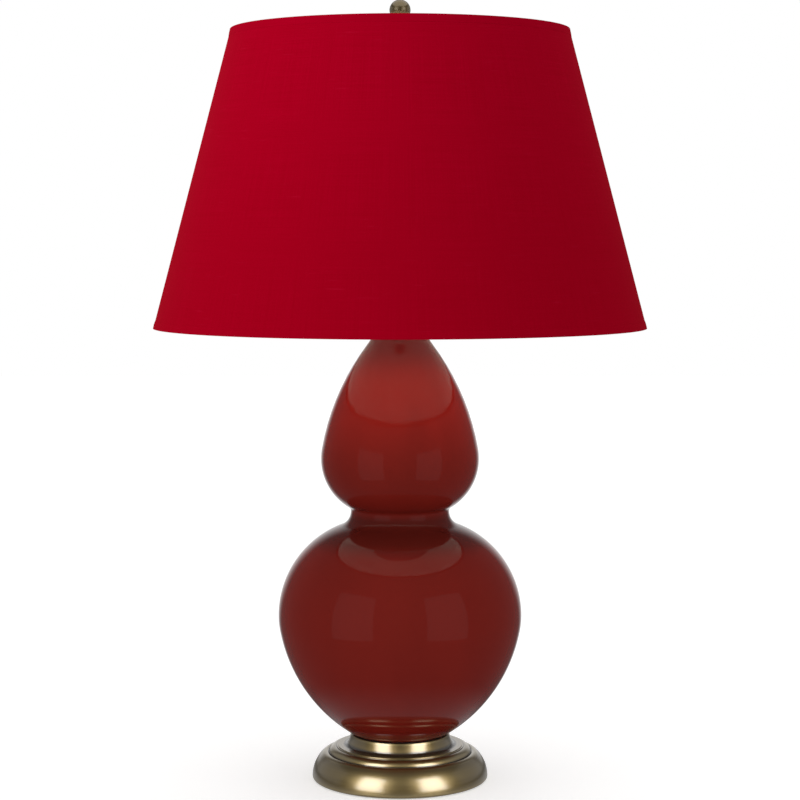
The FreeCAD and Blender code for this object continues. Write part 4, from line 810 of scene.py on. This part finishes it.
def make_neck_pieces():
    """The turned cap on the ceramic's neck, and the baluster that stands on it."""
    inside = NECK_RADIUS + CAP_FIT
    outside = inside + CAP_WALL
    cap_top, cap_seat = high("vase_cap"), low("vase_cap") + CAP_SKIRT
    height = cap_top - cap_seat
    cove = height - CAP_PLATE
    cap = turned("vase_cap_turned", divided(raised(trace(
        (ROD_HOLE, 0),
        (inside, 0),
        (inside, -CAP_SKIRT),
        (outside, -CAP_SKIRT),
        (outside, CAP_BEAD_WIDTH - CAP_SKIRT, CAP_BEAD, 1),
        (outside, CAP_PLATE - CAP_WALL),
        (outside - CAP_WALL, CAP_PLATE, CAP_WALL, 1),
        (CAP_HUB + cove, CAP_PLATE),
        (CAP_HUB, height, cove, -1),
        (ROD_HOLE, height),
    ), cap_seat), spacing=1.5), ANTIQUE_BRASS, steps=FINE_STEPS, span=1.5, rounding=0.2)
    place(cap, "stand", ["vase_cap"])

    tall = high("neck_spacer") - low("neck_spacer")
    shoulder = tall / 5
    hollow = SPACER_RADIUS - SPACER_WAIST
    curve = hollow / 2 + (tall - 2 * shoulder) ** 2 / (8 * hollow)
    spacer = turned("neck_spacer_turned", divided(raised(trace(
        (ROD_HOLE, 0),
        (SPACER_RADIUS, 0),
        (SPACER_RADIUS, shoulder),
        (SPACER_RADIUS, tall - shoulder, curve, -1),
        (SPACER_RADIUS, tall),
        (ROD_HOLE, tall),
    ), low("neck_spacer")), spacing=1), ANTIQUE_BRASS, steps=FINE_STEPS, span=1.2, rounding=0.25)
    return [cap, place(spacer, "stand", ["neck_spacer"])]


# ---- harp fittings and lamp holder

ROD_BORE = 4.95
STUD_SHANK, STUD_RIVET, STUD_RIVET_HEIGHT, STUD_EYE = 2.5, 4, 1.2, 3.2
STUD_FLANGE, STUD_FLANGE_HEIGHT, STUD_RADIUS = 8, 1.6, 3.1
RIVET_ROUND, FLANGE_CHAMFER, STUD_TIP = (0.5, 0.6), 0.4, 0.6
STUD_PITCH, STUD_THREAD_DEPTH = 0.94, 0.42
SLEEVE_BORE, SLEEVE_WALL, SLEEVE_COLLAR = 2.65, 1.3, 0.5
COLLAR_HEIGHT, COLLAR_SLOPE = 1.6, 0.8
SLEEVE_ROLL, SLEEVE_ROLL_IN, SLEEVE_ROLL_CURVE = 1.2, 0.3, 2.4
HOLDER_HUB, HOLDER_HUB_HEIGHT, HOLDER_WALL, HOLDER_RIM = 7.5, 8, 0.9, 7
HOLDER_BEAD, HOLDER_BEAD_TALL, HOLDER_BEAD_LIFT = 1.5, 2.2, 1.2
SHELL_FIT, SHELL_WALL, SHELL_LIP, SHELL_BEAD_DROP = 0.1, 0.6, 0.8, 6
SWITCH_HOLE = 1.9
SCREW_SHELL_RADIUS, SCREW_SHELL_WALL = 13.55, 0.5
SCREW_PITCH, SCREW_DEPTH = 3.6, 0.4


def make_stud():
    """The stud on the harp's eye: riveted end, shank, flange and thread."""
    foot, top = low("harp_stud"), high("harp_stud")
    eye_foot = foot + STUD_RIVET_HEIGHT
    flange = eye_foot + STUD_EYE
    thread_foot = flange + STUD_FLANGE_HEIGHT
    flange_face = STUD_FLANGE - FLANGE_CHAMFER
    loop = (divided([(0, foot), (STUD_RIVET - RIVET_ROUND[0], foot),
                     (STUD_RIVET, foot + RIVET_ROUND[1]), (STUD_RIVET, eye_foot),
                     (STUD_SHANK, eye_foot), (STUD_SHANK, flange), (flange_face, flange),
                     (STUD_FLANGE, flange + FLANGE_CHAMFER),
                     (STUD_FLANGE, thread_foot - FLANGE_CHAMFER), (flange_face, thread_foot),
                     (STUD_RADIUS, thread_foot)], spacing=1.5)
            + divided([(STUD_RADIUS, thread_foot), (STUD_RADIUS, top - STUD_TIP)],
                      spacing=STUD_PITCH / 6)[1:]
            + [(STUD_RADIUS - STUD_TIP, top), (0, top)])
    stud = turned("harp_stud_threaded", loop, BRIGHT_BRASS, steps=48, span=1)
    cut_thread(stud, STUD_RADIUS, thread_foot, top - STUD_TIP / 2, STUD_PITCH, STUD_THREAD_DEPTH)
    return place(stud, "stand", ["harp_stud"])


def make_sleeve(side):
    """A sliding sleeve with a collar at its foot and a rolled top."""
    node = f"harp_sleeve_{side}"
    wall = SLEEVE_BORE + SLEEVE_WALL
    foot, top = low(node), high(node)
    centre = (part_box(node)[0].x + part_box(node)[1].x) / 2 / MM
    loop = trace(
        (SLEEVE_BORE, foot),
        (wall + SLEEVE_COLLAR, foot),
        (wall + SLEEVE_COLLAR, foot + COLLAR_HEIGHT),
        (wall, foot + COLLAR_HEIGHT + COLLAR_SLOPE),
        (wall, top - SLEEVE_ROLL),
        (wall - SLEEVE_ROLL_IN, top, SLEEVE_ROLL_CURVE, 1),
        (SLEEVE_BORE, top),
    )
    sleeve = turned(f"{node}_turned", divided(loop, spacing=1.2), BRIGHT_BRASS, steps=40,
                    span=1.2, centre_x=centre, rounding=0.2)
    return place(sleeve, f"{side}_sleeve", [node])


def make_holder():
    """The holder's spun cap and shell with their stiffening beads, and its screw shell."""
    foot, radius, rim_top = low("socket_cap"), reach("socket_cap"), high("socket_cap")
    dome_foot, dome_top = foot + HOLDER_HUB_HEIGHT, rim_top - HOLDER_RIM
    out, up = radius - HOLDER_HUB, dome_top - dome_foot
    dome_curve = (out ** 2 + up ** 2) / (2 * out)
    cap = turned("holder_cap_spun", divided(trace(
        (ROD_BORE, foot),
        (HOLDER_HUB, foot),
        (HOLDER_HUB, dome_foot),
        (radius, dome_top, dome_curve, 1),
        (radius, dome_top + HOLDER_BEAD_LIFT),
        (radius, dome_top + HOLDER_BEAD_LIFT + HOLDER_BEAD_TALL, HOLDER_BEAD, 1),
        (radius, rim_top - HOLDER_BEAD_TALL),
        (radius, rim_top, HOLDER_BEAD, 1),
        (radius - HOLDER_WALL, rim_top),
        (radius - HOLDER_WALL, dome_top),
        (HOLDER_HUB - HOLDER_WALL, dome_foot + HOLDER_WALL, dome_curve, -1),
        (ROD_BORE, dome_foot + HOLDER_WALL),
    ), spacing=2), SPUN_BRASS, steps=FINE_STEPS, span=1.2, rounding=0.15)
    place(cap, "stand", ["socket_cap"])

    shell_foot, shell_top = low("socket_shell"), high("socket_shell")
    wall = radius - HOLDER_WALL - SHELL_FIT
    inside = wall - SHELL_WALL
    bead = shell_top - SHELL_BEAD_DROP
    shell = turned("holder_shell_spun", divided(trace(
        (inside, shell_foot),
        (wall, shell_foot),
        (wall, bead),
        (wall, bead + HOLDER_BEAD_TALL, HOLDER_BEAD, 1),
        (wall, shell_top - SHELL_LIP),
        (wall + SHELL_LIP, shell_top),
        (inside + SHELL_LIP, shell_top),
        (inside, shell_top - SHELL_LIP),
    ), spacing=3), SPUN_BRASS, steps=FINE_STEPS, span=1.2)
    switch_axis = (low("switch_knob") + high("switch_knob")) / 2
    carve(shell, drill(SWITCH_HOLE, radius * 2, switch_axis, way=-1))
    place(shell, "stand", ["socket_shell"])

    low_end, high_end = low("screw_shell"), high("screw_shell")
    outside = SCREW_SHELL_RADIUS + SCREW_SHELL_WALL
    thread = turned("screw_shell_pressed", divided([
        (SCREW_SHELL_RADIUS, low_end),
        (outside, low_end),
        (outside, high_end),
        (SCREW_SHELL_RADIUS, high_end),
    ], spacing=SCREW_PITCH / 8), SPUN_BRASS, steps=FINE_STEPS, span=1.2)
    for face in (SCREW_SHELL_RADIUS, outside):
        cut_thread(thread, face, low_end, high_end, SCREW_PITCH, SCREW_DEPTH)
    place(thread, "stand", ["screw_shell"])
    return [cap, shell]


# ---- shade

SHADE_TOP_RADIUS = 168.5
SHADE_BOTTOM_RADIUS = reach("shade_fabric")
CLOTH, CARD, TAPE, TAPE_WIDTH, TAPE_END = 0.6, 0.9, 0.5, 7, 0.12
SEAM_WIDTH, SEAM_LIFT, SEAM_STEPS, SEAM_ROUNDING = 14, 0.4, 8, 0.15
RING_WIRE = (high("shade_bottom_ring") - low("shade_bottom_ring")) / 2
SHADE_LEAN = (SHADE_BOTTOM_RADIUS - SHADE_TOP_RADIUS) / SHADE_HEIGHT
RING_FIT = 0.2


def shade_radius(height):
    """Radius of the cloth's outer face at a height."""
    return SHADE_BOTTOM_RADIUS - SHADE_LEAN * (height - SHADE_BOTTOM)


def cone_loop(inner, outer, low_end, high_end):
    """The section of a conical sheet between two depths under the cloth's outer face."""
    return divided([
        (shade_radius(low_end) - inner, low_end),
        (shade_radius(low_end) - outer, low_end),
        (shade_radius(high_end) - outer, high_end),
        (shade_radius(high_end) - inner, high_end),
    ], spacing=12)


def make_seam():
    """The lapped strip of cloth down the back of the shade."""
    loop = cone_loop(CLOTH / 2, -SEAM_LIFT, SHADE_BOTTOM + TAPE_WIDTH, SHADE_TOP - TAPE_WIDTH)
    bm = bmesh.new()
    spread = SEAM_WIDTH / SHADE_BOTTOM_RADIUS
    add_turned(bm, loop, steps=SEAM_STEPS, angle=spread)
    bmesh.ops.holes_fill(bm, edges=[edge for edge in bm.edges if edge.is_boundary], sides=0)
    clean(bm)
    bmesh.ops.rotate(bm, verts=bm.verts,
                     matrix=Matrix.Rotation(math.radians(90) - spread / 2, 3, "Z"))
    seam = finish_mesh("shade_seam", bm, RED_LINEN)
    round_edges(seam, SEAM_ROUNDING)
    return place(seam, "shade")


def make_tape(name, level, way, node):
    """Tape folded over an edge of the shade and the ring in it, its ends pared thin.

    Way is 1 up or -1 down.
    """
    edge = shade_radius(level)
    ring = edge - CLOTH - CARD - 2 * RING_WIRE - 2 * RING_FIT
    end = level + way * TAPE_WIDTH
    fold = level - way * TAPE
    lean = SHADE_LEAN * TAPE_WIDTH * way
    loop = [
        (edge + TAPE, fold), (edge + TAPE - lean / 2, (level + end) / 2),
        (edge + TAPE_END - lean, end), (edge - lean, end), (edge, level),
        (ring, level), (ring, end), (ring - TAPE, end), (ring - TAPE, fold),
    ]
    tape = turned(name, loop, RED_LINEN, span=1.5, rounding=0.2)
    return place(tape, "shade", [node])


def make_ring():
    """The wire ring inside the shade's lower edge."""
    height = SHADE_BOTTOM + RING_WIRE
    radius = shade_radius(height) - CLOTH - CARD - RING_WIRE - RING_FIT
    bm = bmesh.new()
    bmesh.ops.create_circle(bm, segments=WIRE_SIDES, radius=RING_WIRE * MM)
    tip_and_move(bm, (radius * MM, 0, height * MM))
    bmesh.ops.spin(bm, geom=list(bm.verts) + list(bm.edges), cent=(0, 0, 0), axis=(0, 0, 1),
                   angle=2 * math.pi, steps=TURN_STEPS, use_merge=True)
    clean(bm)
    return place(finish_mesh("shade_low_ring", bm, BRIGHT_BRASS), "shade",
                 ["shade_bottom_ring"])


def make_shade():
    """Cloth on card, with its seam, hems and wires."""
    cloth = turned("shade_cloth", cone_loop(CLOTH, 0, SHADE_BOTTOM, SHADE_TOP), RED_LINEN, span=2)
    place(cloth, "shade", ["shade_fabric"])
    card = turned("shade_card", cone_loop(CLOTH + CARD, CLOTH, SHADE_BOTTOM, SHADE_TOP), LINING,
                  span=2)
    place(card, "shade", ["shade_lining"])
    seam = make_seam()
    hems = [make_tape("shade_low_hem", SHADE_BOTTOM, 1, "shade_bottom_trim"),
            make_tape("shade_high_hem", SHADE_TOP, -1, "shade_top_trim")]
    make_ring()
    smoothed("shade_frame", "shade", BRIGHT_BRASS)
    smoothed("shade_hub", "shade", BRIGHT_BRASS, rounding=0.3)
    return [cloth, seam, *hems], card


# ---- finial

FINIAL_FOOT_RADIUS, FINIAL_FOOT = 8.5, 2.4
FINIAL_NECK, FINIAL_NECK_HEIGHT, FINIAL_BALL = 5.4, 21, 10.6
FINIAL_COLLAR, FINIAL_COLLAR_CURVE = 0.9, 1.08
FINIAL_BUTTON, FINIAL_BUTTON_HEIGHT, FINIAL_BUTTON_CURVE = 3.6, 0.7, 14
FINIAL_BORE, FINIAL_BORE_DEPTH = 4.15, 14


def make_finial():
    """The ball finial: foot, cove, neck, ball and button, bored from below."""
    foot = low("finial_knob")
    cove = FINIAL_FOOT_RADIUS - FINIAL_NECK
    ball_foot = FINIAL_FOOT + FINIAL_NECK_HEIGHT
    ball_centre = ball_foot + math.sqrt(FINIAL_BALL ** 2 - FINIAL_NECK ** 2)
    crown = ball_centre + math.sqrt(FINIAL_BALL ** 2 - FINIAL_BUTTON ** 2)
    loop = trace(
        (FINIAL_BORE, 0),
        (FINIAL_FOOT_RADIUS, 0),
        (FINIAL_FOOT_RADIUS, FINIAL_FOOT, FINIAL_FOOT, 1),
        (FINIAL_NECK + FINIAL_COLLAR, FINIAL_FOOT + cove - FINIAL_COLLAR, cove, -1),
        (FINIAL_NECK, FINIAL_FOOT + cove),
        (FINIAL_NECK, ball_foot - 2 * FINIAL_COLLAR),
        (FINIAL_NECK, ball_foot, FINIAL_COLLAR_CURVE, 1),
        (FINIAL_BALL, ball_centre, FINIAL_BALL, 1),
        (FINIAL_BUTTON, crown, FINIAL_BALL, 1),
        (FINIAL_BUTTON, crown + FINIAL_BUTTON_HEIGHT / 2),
        (0, crown + FINIAL_BUTTON_HEIGHT, FINIAL_BUTTON_CURVE, 1),
    ) + [(0, FINIAL_BORE_DEPTH), (FINIAL_BORE, FINIAL_BORE_DEPTH)]
    piece = turned("finial_turned", divided(raised(loop, foot), spacing=1.5), ANTIQUE_BRASS,
                   steps=FINE_STEPS, span=1.6, rounding=0.15)
    return place(piece, "finial", ["finial_knob"])


# ---- light and camera
# Distances are in metres here, and the lens and the sensor in millimetres.

CAMERA_DISTANCE, CAMERA_HEIGHT = 2.150, 0.558
CAMERA_PITCH = math.radians(4.54)
CAMERA_LENS, SENSOR_WIDTH = 96.1, 36
ROOM_LEVEL, STUDIO_LEVEL, BACKDROP_LEVEL = 0.80, 0.12, 1.0
BACKDROP_EDGE = (0.80, 1.02)
FLOOR_REACH, FLOOR_GREY, FLOOR_LIFT = 6, srgb(232, 232, 232), 0.45
# A painted pool of light on the floor about the lamp's base, seen only in reflections.
PAINTED_POOL_EDGE, PAINTED_POOL_LEVEL = (0.09, 0.20), 0.4
BLACK, WHITE = (0, 0, 0, 1), (1, 1, 1, 1)


def make_camera():
    camera = bpy.data.objects.new("camera", bpy.data.cameras.new("camera"))
    camera.data.lens = CAMERA_LENS
    camera.data.sensor_width = SENSOR_WIDTH
    camera.location = (0, -CAMERA_DISTANCE, CAMERA_HEIGHT)
    camera.rotation_euler = (math.radians(90) - CAMERA_PITCH, 0, 0)
    bpy.context.scene.collection.objects.link(camera)
    bpy.context.scene.camera = camera


def make_softbox(name, azimuth, middle, distance, width, tall, radiance, gloss, shines_on,
                 tilt=0):
    """A soft light on some pieces, which shows in their gloss or else lights their colour.

    It faces the lamp's axis, or is tilted up from there. Azimuth is counted in degrees from the
    camera's side to +X.
    """
    light = bpy.data.lights.new(name, "AREA")
    light.shape = "RECTANGLE"
    light.size, light.size_y = width, tall
    light.energy = radiance * width * tall * math.pi
    piece = bpy.data.objects.new(name, light)
    turn = math.radians(azimuth)
    piece.location = (math.sin(turn) * distance, -math.cos(turn) * distance, middle)
    piece.rotation_euler = (math.radians(90 + tilt), 0, turn)
    piece.visible_camera = False
    piece.visible_diffuse = not gloss
    piece.visible_glossy = gloss
    lit = bpy.data.collections.new(f"{name}_shines_on")
    for each in shines_on:
        lit.objects.link(each)
    piece.light_linking.receiver_collection = lit
    bpy.context.scene.collection.objects.link(piece)


def make_floor():
    """A pale floor, lifted to white for the camera.

    A reflection finds the white backdrop's sweep behind the lamp, a painted pool of light about
    its base, and the dusk of the studio elsewhere.
    """
    bm = bmesh.new()
    bmesh.ops.create_grid(bm, x_segments=1, y_segments=1, size=FLOOR_REACH)
    material, s = new_material("studio floor")
    by_camera, mirrored = s.sight()
    spot = s.spot()
    way = s.add("ShaderNodeVectorMath", {0: spot}, operation="NORMALIZE").outputs[0]
    far = s.add("ShaderNodeVectorMath", {0: spot}, operation="LENGTH").outputs["Value"]
    sweep = s.ramp(s.parts(way)[1], *BACKDROP_EDGE, STUDIO_LEVEL, BACKDROP_LEVEL)
    # The painted pool of light about the base.
    pool_and_painted_light = s.ramp(far, *PAINTED_POOL_EDGE, PAINTED_POOL_LEVEL, STUDIO_LEVEL)
    lifted = s.times(by_camera, FLOOR_LIFT)
    s.finish(Base_Color=s.mix(mirrored, FLOOR_GREY, BLACK), Roughness=0.9,
             Specular_IOR_Level=0.0, Emission_Color=WHITE,
             Emission_Strength=s.blend(mirrored, lifted, s.math("MAXIMUM", sweep, pool_and_painted_light)))
    finish_mesh("studio_floor", bm, material)


def make_world():
    """An even room, with a white backdrop behind the lamp and a dim studio before it."""
    world = bpy.data.worlds.new("studio")
    bpy.context.scene.world = world
    world.use_nodes = True
    s = Shader(world.node_tree)
    background = world.node_tree.nodes["Background"]
    background.inputs["Color"].default_value = WHITE
    way = s.add("ShaderNodeTexCoord").outputs["Generated"]
    backdrop = s.ramp(s.parts(way)[1], *BACKDROP_EDGE, STUDIO_LEVEL, BACKDROP_LEVEL)
    by_camera, mirrored = s.sight()
    seen = s.blend(mirrored, ROOM_LEVEL, backdrop)
    s.join(s.blend(by_camera, seen, BACKDROP_LEVEL), background.inputs["Strength"])


# ---- the lamp

bpy.context.scene.view_settings.view_transform = "Standard"
make_camera()
make_world()
make_floor()

gourd = make_gourd()
base = make_base()
fittings = make_neck_pieces()
shade, card = make_shade()
finial = make_finial()
fittings += make_holder()
fittings += [make_stud(), make_sleeve("left"), make_sleeve("right")]
fittings += [smoothed("harp_bow", "stand", BRIGHT_BRASS),
             smoothed("harp_saddle", "stand", BRIGHT_BRASS, rounding=0.2),
             smoothed("saddle_nut", "stand", BRIGHT_BRASS, rounding=0.4)]
for node, body, slot, finish, rounding in (
        ("socket_liner", "stand", "fibre_card", FIBRE_CARD, 0),
        ("socket_core", "stand", "moulded_core", MOULDED_CORE, 0.3),
        ("terminal_screws", "stand", "contact_metal", SPUN_BRASS, 0.2),
        ("centre_contact", "stand", "contact_metal", SPUN_BRASS, 0.1),
        ("switch_spindle", "switch", "zinc_steel", ZINC_STEEL, 0.2),
        ("switch_knob", "switch", "knob_plastic", KNOB_PLASTIC, 0.15),
        ("bulb_glass", "bulb", "bulb_glass", FROSTED, 0),
        ("bulb_cap", "bulb", "bulb_cap_metal", BULB_METAL, 0),
        ("bulb_insulator", "bulb", "bulb_insulator", BULB_BLACK, 0),
        ("bulb_contact", "bulb", "bulb_cap_metal", BULB_METAL, 0),
        ("cord_bushing", "stand", "bushing_plastic", BUSHING_PLASTIC, 0.4)):
    smoothed(node, body, finish, rounding)
for finish, hidden in (
        (CAST_IRON, ["base_weight"]),
        (FELT, ["felt_pad"]),
        (ZINC_STEEL, ["rod_washer", "lock_washer", "rod_nut", "threaded_rod"]),
        (SEAL_RUBBER, ["foot_gasket", "neck_gasket"]),
        (SPUN_BRASS, ["finial_insert"])):
    for node in hidden:
        finish_node(node, finish)

# Each softbox: azimuth, its middle's height, distance, width, height, radiance, whether it shows
# in the gloss, the pieces it shines on, and tilt. Lengths are in metres.
make_softbox("shade_light", -55, 1.3, 1.6, 0.95, 1.24, 3.55, False, shade)
make_softbox("lining_glow", 0, 0.05, 0, 0.9, 0.9, 1.4, False, [card], 90)
for side, way in (("left", -1), ("right", 1)):
    for name, *row in (
            ("fill", way * 42, 0.4, 2.2, 1.1, 0.8, 1.8, False, [gourd, base, finial]),
            ("shine", way * 42 + 2, 1.05, 2.2, 1.35, 2.1, 6.5, True, [base, *fittings]),
            ("wing", way * 112, 0.9, 2.2, 2.4, 1.8, 0.25, True, [base, finial]),
            ("gleam", way * 40.5, 0.25, 0.5, 0.33, 0.42, 0.2, True, [gourd]),
            ("finial_shine", way * 42, 1.0, 2.2, 1.6, 1.6, 0.9, True, [finial])):
        make_softbox(f"{side}_{name}", *row)
make_softbox("finial_sky", 0, 2.4, 0, 4, 4, 0.65, True, [finial], -90)
